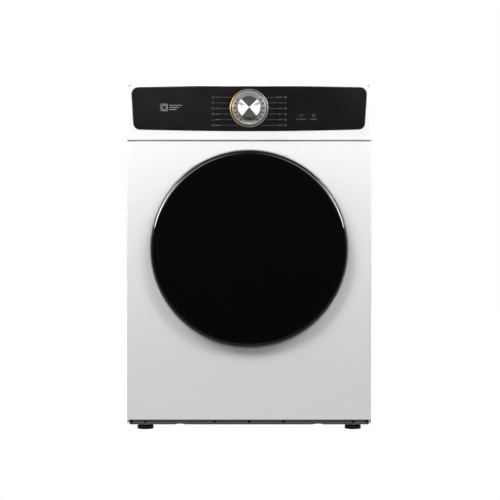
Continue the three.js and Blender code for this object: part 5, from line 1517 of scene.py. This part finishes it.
def make_bowl(s):
    """The door's inner panel: a flat ring, and a bowl that reaches into the drum's mouth."""
    front, back = low("door_inner_panel").y, high("door_inner_panel").y
    wall, plug, dish, roll = 2 * MM, 158 * MM, 9 * MM, 8 * MM
    face = front + wall
    profile = [(0, back - dish)]
    profile += [(plug * t, back - dish + dish * (t / 0.92) ** 2 * 0.985) for t in (0.2, 0.4, 0.6, 0.8)]
    profile += arc(plug - roll, back - roll, roll, 90, 0, 8)
    profile += [(plug, face + 1.5 * MM)] + arc(plug + 1.5 * MM, face + 1.5 * MM, 1.5 * MM, 180, 270, 4)
    profile += [(GLASS_RADIUS - 14 * MM, face), (GLASS_RADIUS - 12 * MM, face - 0.5 * MM),
                (GLASS_RADIUS - 1.5 * MM, face - 0.5 * MM), (GLASS_RADIUS, face - 1.2 * MM),
                (GLASS_RADIUS, front)]
    profile += [(plug - wall, front), (plug - wall, back - roll)]
    profile += [(plug - roll, back - wall - 0.3 * MM)]
    profile += [(plug * t, back - dish + dish * (t / 0.92) ** 2 * 0.985 - wall) for t in (0.8, 0.6, 0.4, 0.2)]
    profile += [(0, back - dish - wall)]
    bowl = cut(revolved(profile, DOOR), *arm_slots())
    made = piece("door_bowl", bowl, finish(moulded, "pale_moulding", s.bowl, 0.4), 35)
    placed(made, "door", "pale_plastic", "door_inner_panel")
    around = [math.radians(a) for a in (12, 50, 90, 130, 168, 192, 230, 270, 310, 348)]
    reach = GLASS_RADIUS - 22 * MM
    points = [(reach * math.cos(a), face + 0.3 * MM, DOOR.z + reach * math.sin(a)) for a in around]
    screws("door_screws", points, "door", Radius=3.6 * MM, Height=1.6 * MM)


def make_seal(s):
    """The lipped rubber seal on the door."""
    front, tip = low("door_seal").y, high("door_seal").y
    outer = half_width("door_seal")
    inner = outer - 11 * MM
    profile = [(inner, front), (outer - 0.5 * MM, front), (outer, front + 0.6 * MM)]
    profile += [(outer - 0.4 * MM, front + 3.4 * MM), (outer - 1.6 * MM, front + 4.4 * MM),
                (outer - 0.2 * MM, tip - 1.2 * MM), (outer - 0.8 * MM, tip - 0.2 * MM), (outer - 2 * MM, tip)]
    profile += [(outer - 3.2 * MM, tip - 0.5 * MM), (outer - 6.5 * MM, front + 5 * MM),
                (outer - 8 * MM, front + 4 * MM), (inner + 0.4 * MM, front + 3.6 * MM),
                (inner, front + 2.6 * MM)]
    made = piece("door_seal_finished", revolved(profile, DOOR), finish(rubber, "seal_rubber", s.rubber), 50)
    placed(made, "door", "seal_rubber", "door_seal")


# ---- Doorway and drum ----


def make_doorway(s):
    """The mouth collar, the lint filter, the hinge bracket and the catch."""
    make_mouth(s)
    make_filter()
    softened("door_catch", 0.7 * MM)
    softened("hinge_bracket", 0.6 * MM)
    softened("front_bulkhead", 0.4 * MM)


def make_mouth(s):
    """The collar from the front panel to the drum, with its bead and its slot for the filter."""
    front, back = low("mouth_collar").y, high("mouth_collar").y
    bore, wall, flange = 170 * MM, 2.5 * MM, 12 * MM
    profile = [(bore, front + 2 * MM)] + arc(bore + 2 * MM, front + 2 * MM, 2 * MM, 180, 270, 5)[1:]
    profile += [(bore + flange, front), (bore + flange, front + wall), (bore + wall + MM, front + wall),
                (bore + wall, front + wall + MM)]
    profile += [(bore + wall, back - wall), (bore + wall + flange, back - wall), (bore + wall + flange, back)]
    profile += [(bore + MM, back), (bore, back - MM)]
    for y in (back - 8 * MM, back - 14 * MM):
        profile += [(bore, y), (bore + 0.9 * MM, y - 0.6 * MM), (bore + 0.9 * MM, y - 1.8 * MM),
                    (bore, y - 2.4 * MM)]
    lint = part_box("lint_filter")
    gap = 2 * MM
    slot = block((lint[0].x - gap, lint[0].y - gap, lint[0].z),
                 (lint[1].x + gap, lint[1].y + gap, DOOR.z - bore / 2))
    pale = finish(moulded, "pale_moulding", s.bowl, 0.4)
    made = piece("mouth_collar_finished", cut(revolved(profile, DOOR), slot), pale, 35)
    placed(made, "cabinet", "pale_plastic", "mouth_collar")


def make_filter():
    """The lint filter: a frame that follows the mouth, a woven screen and a grip."""
    lowest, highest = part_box("lint_filter")
    mouth_radius = 171 * MM
    bottom = lowest.z
    depth = (lowest.y, highest.y)
    bore = rod((0, depth[0] - 9 * MM, DOOR.z), (0, depth[1] + 9 * MM, DOOR.z), mouth_radius, FINE)
    body = block((lowest.x, depth[0], bottom), (highest.x, depth[1], DOOR.z - 85 * MM), 1.2 * MM, 3)
    pocket = block((lowest.x + 5 * MM, depth[0] + 1.6 * MM, bottom + 5 * MM),
                   (highest.x - 5 * MM, depth[1] - 1.6 * MM, DOOR.z))
    panes = []
    for i in range(4):
        x0 = lowest.x + 7 * MM + i * 41.2 * MM
        panes.append(block((x0, depth[0] - 2 * MM, bottom + 9 * MM),
                           (x0 + 36 * MM, depth[1] + 2 * MM, bottom + 62 * MM)))
    frame_mesh = cut(body, bore, pocket, *panes)
    middle_y = sum(depth) / 2
    grip_top = highest.z if highest.z < DOOR.z - 140 * MM else DOOR.z - 152 * MM
    grip_low = DOOR.z - mouth_radius - 7 * MM
    root = block((-18 * MM, depth[0] + 0.2 * MM, grip_low), (18 * MM, depth[1] - 0.2 * MM, grip_low + 5 * MM),
                 0.8 * MM)
    grip = slab(lambda i: outline(16 * MM - i, 18 * MM - i, grip_low + 2 * MM, grip_top - i, 6 * MM - i,
                                  1 * MM - i / 2,
                                  steps=6), middle_y + 1.4 * MM, middle_y - 1.4 * MM, 0.6 * MM, 3)
    plastic = slot_finish("grey_plastic")
    made = piece("lint_filter_frame", joined(frame_mesh, root, grip), plastic, 35)
    placed(made, "filter", "grey_plastic", "lint_filter")
    screens = [block((lowest.x + 4 * MM, y, bottom + 6 * MM),
                     (highest.x - 4 * MM, y + 0.3 * MM, bottom + 65 * MM))
               for y in (depth[0] + 0.7 * MM, depth[1] - MM)]
    made = piece("lint_filter_screen", joined(*screens), finish(filter_mesh, (0.55, 0.56, 0.57)))
    placed(made, "filter", "grey_plastic")


def make_drum(_):
    """The drum: a beaded and dimpled shell, a perforated rear wall and three lifters."""
    steel = finish(brushed_steel, STEEL)
    front, back = low("drum_shell").y, high("drum_shell").y
    inside = DRUM_RADIUS - SHEET
    outer = [(DRUM_RADIUS, front), (DRUM_RADIUS, back)]
    inner = [(inside, back)]
    for y in (back - 30 * MM, front + 30 * MM):
        inner += [(inside, y + 4 * MM), (inside - 1.4 * MM, y + 1.5 * MM), (inside - 1.4 * MM, y - 1.5 * MM),
                  (inside, y - 4 * MM)]
    inner += [(inside, front)]
    shell = revolved(outer + inner, DRUM)
    spots, normals = [], []
    lifters = [math.radians(90 - 30 - 120 * i) for i in range(3)]
    rows, around = 9, 72
    for i in range(rows):
        for j in range(around):
            a = 2 * math.pi * (j + 0.5 * (i % 2)) / around
            gap = min(abs(math.remainder(a - b, 2 * math.pi)) for b in lifters)
            if gap < math.radians(11):
                continue
            toward = Vector((-math.cos(a), 0, -math.sin(a)))
            y = front + 58 * MM + i * (back - front - 116 * MM) / (rows - 1)
            spots.append(Vector((DRUM.x, y, DRUM.z)) - toward * (inside - 0.3 * MM))
            normals.append(toward)
    dimples = grown(dimples_pattern, points_mesh(spots, normals), steel, Radius=4.5 * MM, Height=1.6 * MM)
    placed(piece("drum_shell_finished", joined(shell, dimples), steel, 35), "drum", "stainless", "drum_shell")
    make_drum_wall(steel)
    make_lifters()
    softened("drum_shaft", 0.5 * MM)


def make_drum_wall(steel):
    """The perforated rear wall of the drum."""
    front, back = low("drum_rear_wall").y, high("drum_rear_wall").y
    radius = half_width("drum_rear_wall")
    profile = [(0, back), (radius, back), (radius, front), (radius - 8 * MM, front),
               (radius - 9 * MM, front - 1.2 * MM),
               (radius - 14 * MM, front - 1.2 * MM), (radius - 15 * MM, front), (66 * MM, front),
               (64 * MM, front - 2 * MM), (0, front - 2 * MM)]
    plate = revolved(profile, DRUM, ROUND)
    holes = []
    for ring, count in enumerate((36, 42, 48, 54, 60, 66)):
        r = (92 + 22 * ring) * MM
        holes += [(DRUM.x + r * math.cos(a), (front + back) / 2, DRUM.z + r * math.sin(a))
                  for a in (2 * math.pi * (i + 0.5 * (ring % 2)) / count for i in range(count))]
    bm = bmesh.new()
    bm.from_mesh(plate)
    marked = bm.verts.layers.bool.new("hole")
    for spot in holes:
        bm.verts.new(spot)[marked] = True
    marked_plate = bpy.data.meshes.new("marked")
    bm.to_mesh(marked_plate)
    bm.free()
    wall = grown(perforation_pattern, marked_plate, steel, Radius=3.4 * MM, Depth=6 * MM)
    placed(piece("drum_wall_finished", wall, steel, 35), "drum", "stainless", "drum_rear_wall")


def make_lifters():
    """Three tapered lifters along the drum."""
    foot = DRUM_RADIUS - SHEET - 0.8 * MM
    front, back = low("drum_lifter_1").y, high("drum_lifter_1").y
    height = 62 * MM
    plastic = slot_finish("grey_plastic")
    for i in range(3):
        loops = []
        stations = 24
        for k in range(stations + 1):
            t = k / stations
            y = front + (back - front) * t
            end = min(1.0, min(t, 1 - t) / 0.1)
            swell = 0.55 + 0.45 * math.sin(end * math.pi / 2)
            crest = foot - height * swell
            section = [(37 * MM, foot - 1.6 * MM)]
            section += [(37 * MM, foot - 5 * MM), (31 * MM, foot - 9 * MM),
                        (20 * MM, foot - height * 0.35 * swell)]
            section += [(11 * MM, foot - height * 0.75 * swell)]
            section += arc(0, crest + 8 * MM, 8 * MM, -20, -90, 5)
            left = [(-x, z) for x, z in reversed(section[:-1])]
            section = section + left + [(-20 * MM, foot - 0.4 * MM), (0, foot), (20 * MM, foot - 0.4 * MM)]
            loops.append([(x, y, z) for x, z in section])
        turn = Matrix.Translation((DRUM.x, 0, DRUM.z)) @ Matrix.Rotation(math.radians(30 + 120 * i), 4, "Y")
        mesh = loft(loops)
        mesh.transform(turn)
        node = f"drum_lifter_{i + 1}"
        placed(piece(f"{node}_finished", mesh, plastic, 40), "drum", "grey_plastic", node)


# ---- Inner works ----


def make_works(_):
    """Every inner part that keeps its CAD shape gets its finish; plain brackets get rounded edges."""
    for node in ("motor_bracket", "idler_bracket", "idler_arm", "front_brace", "rear_brace",
                 "bearing_housing"):
        softened(node, 0.4 * MM)
    for node, thing in frame["nodes"].items():
        if not thing.hide_render:
            thing.data.materials.clear()
            thing.data.materials.append(slot_finish(slot_of(node)))


# ---- Stage ----


def make_stage(s):
    """The floor, the lamps, the sky and the camera."""
    bm = bmesh.new()
    corners = [(-4.5, -1.15), (4.5, -1.15), (4.5, 6.5), (-4.5, 6.5)]
    bm.faces.new([bm.verts.new((x, y, -0.2 * MM)) for x, y in corners])
    bmesh.ops.subdivide_edges(bm, edges=bm.edges[:], cuts=8, use_grid_fill=True)
    mesh = bpy.data.meshes.new("floor")
    bm.to_mesh(mesh)
    bm.free()
    floor = bpy.data.objects.new("floor", mesh)
    mesh.materials.append(finish(floor_paint, (0.3, 0.3, 0.3)))
    bpy.context.scene.collection.objects.link(floor)
    target = Vector((0, FRONT, DOOR.z + 0.05))
    for side, share in ((-1, 1.0), (1, 0.8)):
        aim = Vector((side * 0.12, FRONT, high("front_panel").z + s.aim))
        key = target + Vector((side * 0.8, -1.75, 1.5))
        lamp(f"key_{side + 1}", key, aim, s.key * share, (2.1, 1.3), s.spread)
        rim = target + Vector((side * 1.9, -0.9, 1.45))
        strip = lamp(f"rim_{side + 1}", rim, aim, s.strip * share, (2.1, 0.5), s.spread)
        strip.visible_diffuse = False
    make_sky()
    view = bpy.data.cameras.new("camera")
    view.sensor_width = 36
    view.lens = view.sensor_width * s.distance / s.width
    camera = bpy.data.objects.new("camera", view)
    camera.location = (s.eye_offset, FRONT - s.distance, s.eye_height)
    camera.rotation_euler = (math.pi / 2, 0, 0)
    bpy.context.scene.collection.objects.link(camera)
    bpy.context.scene.camera = camera
    bpy.context.scene.view_settings.view_transform = "Standard"


def lamp(name, place, target, power, size, spread):
    """A long softbox that faces its target, its long side square to the door's axis."""
    light = bpy.data.lights.new(name, "AREA")
    light.shape = "RECTANGLE"
    light.size, light.size_y = size
    light.energy = power
    light.spread = spread
    made = bpy.data.objects.new(name, light)
    made.location = place
    away = (place - target).normalized()
    along = Vector((0, 1, 0)).cross(away).normalized()
    made.rotation_euler = Matrix((along, away.cross(along), away)).transposed().to_euler()
    bpy.context.scene.collection.objects.link(made)
    return made


def make_sky():
    """White all round, but dark in front, as in a studio whose lamps stand to the sides."""
    world = bpy.data.worlds.new("studio")
    bpy.context.scene.world = world
    world.use_nodes = True
    tree = world.node_tree
    nodes, links = tree.nodes, tree.links
    background = nodes["Background"]
    split = nodes.new("ShaderNodeSeparateXYZ")
    links.new(nodes.new("ShaderNodeTexCoord").outputs["Generated"], split.inputs[0])
    ahead = nodes.new("ShaderNodeMapRange")
    ahead.interpolation_type = "SMOOTHSTEP"
    for socket, value in zip(ahead.inputs[1:], (-0.85, 0.1, 0.03, 0.8)):
        socket.default_value = value
    links.new(split.outputs["Y"], ahead.inputs["Value"])
    path = nodes.new("ShaderNodeLightPath")
    choose = nodes.new("ShaderNodeMix")
    links.new(path.outputs["Is Camera Ray"], choose.inputs["Factor"])
    links.new(ahead.outputs["Result"], choose.inputs["A"])
    choose.inputs["B"].default_value = 1.0
    links.new(choose.outputs["Result"], background.inputs["Strength"])
    background.inputs["Color"].default_value = (1, 1, 1, 1)


# ---- Operators ----


class Step:
    """A step of the build: it runs each maker with the settings that the maker names."""

    def execute(self, context):
        for make, *groups in self.makers:
            make(*(getattr(context.scene, f"dryer_{group}") for group in groups))
        return {"FINISHED"}


class DRYER_OT_stage(Step, bpy.types.Operator):
    """Make the floor, the lamps and the camera"""

    bl_idname, bl_label = "dryer.stage", "Stage"
    makers = ((make_stage, "stage"),)


class DRYER_OT_front_panel(Step, bpy.types.Operator):
    """Make the front panel with its door recess"""

    bl_idname, bl_label = "dryer.front_panel", "Front panel"
    makers = ((make_front_panel, "cabinet"),)


class DRYER_OT_side_panels(Step, bpy.types.Operator):
    """Make both side panels"""

    bl_idname, bl_label = "dryer.side_panels", "Side panels"
    makers = ((make_side_panels, "cabinet"),)


class DRYER_OT_worktop(Step, bpy.types.Operator):
    """Make the worktop"""

    bl_idname, bl_label = "dryer.worktop", "Worktop"
    makers = ((make_worktop, "cabinet"),)


class DRYER_OT_base(Step, bpy.types.Operator):
    """Make the base tray and its four feet"""

    bl_idname, bl_label = "dryer.base", "Base and feet"
    makers = ((make_base, "cabinet"), (make_feet, "cabinet"))


class DRYER_OT_back(Step, bpy.types.Operator):
    """Make the rear panel, the heater cover, the exhaust collar and the cord gland"""

    bl_idname, bl_label = "dryer.back", "Back"
    makers = tuple((make, "cabinet") for make in (make_rear_panel, make_heater_cover, make_vent_collar,
                                                  make_gland))


class DRYER_OT_control_panel(Step, bpy.types.Operator):
    """Make the control panel, its window and its print"""

    bl_idname, bl_label = "dryer.control_panel", "Control panel"
    makers = ((make_control_panel, "control", "cabinet"), (make_window, "control"), (make_prints, "control"))


class DRYER_OT_dial(Step, bpy.types.Operator):
    """Make the program dial"""

    bl_idname, bl_label = "dryer.dial", "Dial"
    makers = ((make_dial, "dial"),)


class DRYER_OT_door(Step, bpy.types.Operator):
    """Make the door"""

    bl_idname, bl_label = "dryer.door", "Door"
    makers = ((make_door, "door"),)


class DRYER_OT_doorway(Step, bpy.types.Operator):
    """Make what the open door shows round the drum's mouth"""

    bl_idname, bl_label = "dryer.doorway", "Doorway"
    makers = ((make_doorway, "door"),)


class DRYER_OT_drum(Step, bpy.types.Operator):
    """Make the drum"""

    bl_idname, bl_label = "dryer.drum", "Drum"
    makers = ((make_drum, "cabinet"),)


class DRYER_OT_works(Step, bpy.types.Operator):
    """Finish the inner works"""

    bl_idname, bl_label = "dryer.works", "Inner works"
    makers = ((make_works, "cabinet"),)


SETTINGS = {
    "dryer_cabinet": DryerCabinetSettings,
    "dryer_control": DryerControlSettings,
    "dryer_dial": DryerDialSettings,
    "dryer_door": DryerDoorSettings,
    "dryer_stage": DryerStageSettings,
}
OPERATORS = (
    DRYER_OT_stage, DRYER_OT_front_panel, DRYER_OT_side_panels, DRYER_OT_worktop, DRYER_OT_base,
    DRYER_OT_back,
    DRYER_OT_control_panel, DRYER_OT_dial, DRYER_OT_door, DRYER_OT_doorway, DRYER_OT_drum, DRYER_OT_works,
)


class DRYER_PT_sidebar(bpy.types.Panel):
    """The dryer's settings and steps"""

    bl_label = "Tumble dryer"
    bl_space_type = "VIEW_3D"
    bl_region_type = "UI"
    bl_category = "Dryer"

    def draw(self, context):
        for key, group in SETTINGS.items():
            box = self.layout.box()
            box.label(text=group.__doc__)
            for name in group.__annotations__:
                box.prop(getattr(context.scene, key), name)
        for operator in OPERATORS:
            self.layout.operator(operator.bl_idname)


CLASSES = (*SETTINGS.values(), *OPERATORS, DRYER_PT_sidebar)


def register():
    for cls in CLASSES:
        bpy.utils.register_class(cls)
    for key, group in SETTINGS.items():
        setattr(bpy.types.Scene, key, bpy.props.PointerProperty(type=group))


def unregister():
    for key in SETTINGS:
        delattr(bpy.types.Scene, key)
    for cls in reversed(CLASSES):
        bpy.utils.unregister_class(cls)


def main():
    register()
    for operator in OPERATORS:
        family, name = operator.bl_idname.split(".")
        getattr(getattr(bpy.ops, family), name)()


if __name__ == "__main__":
    main()
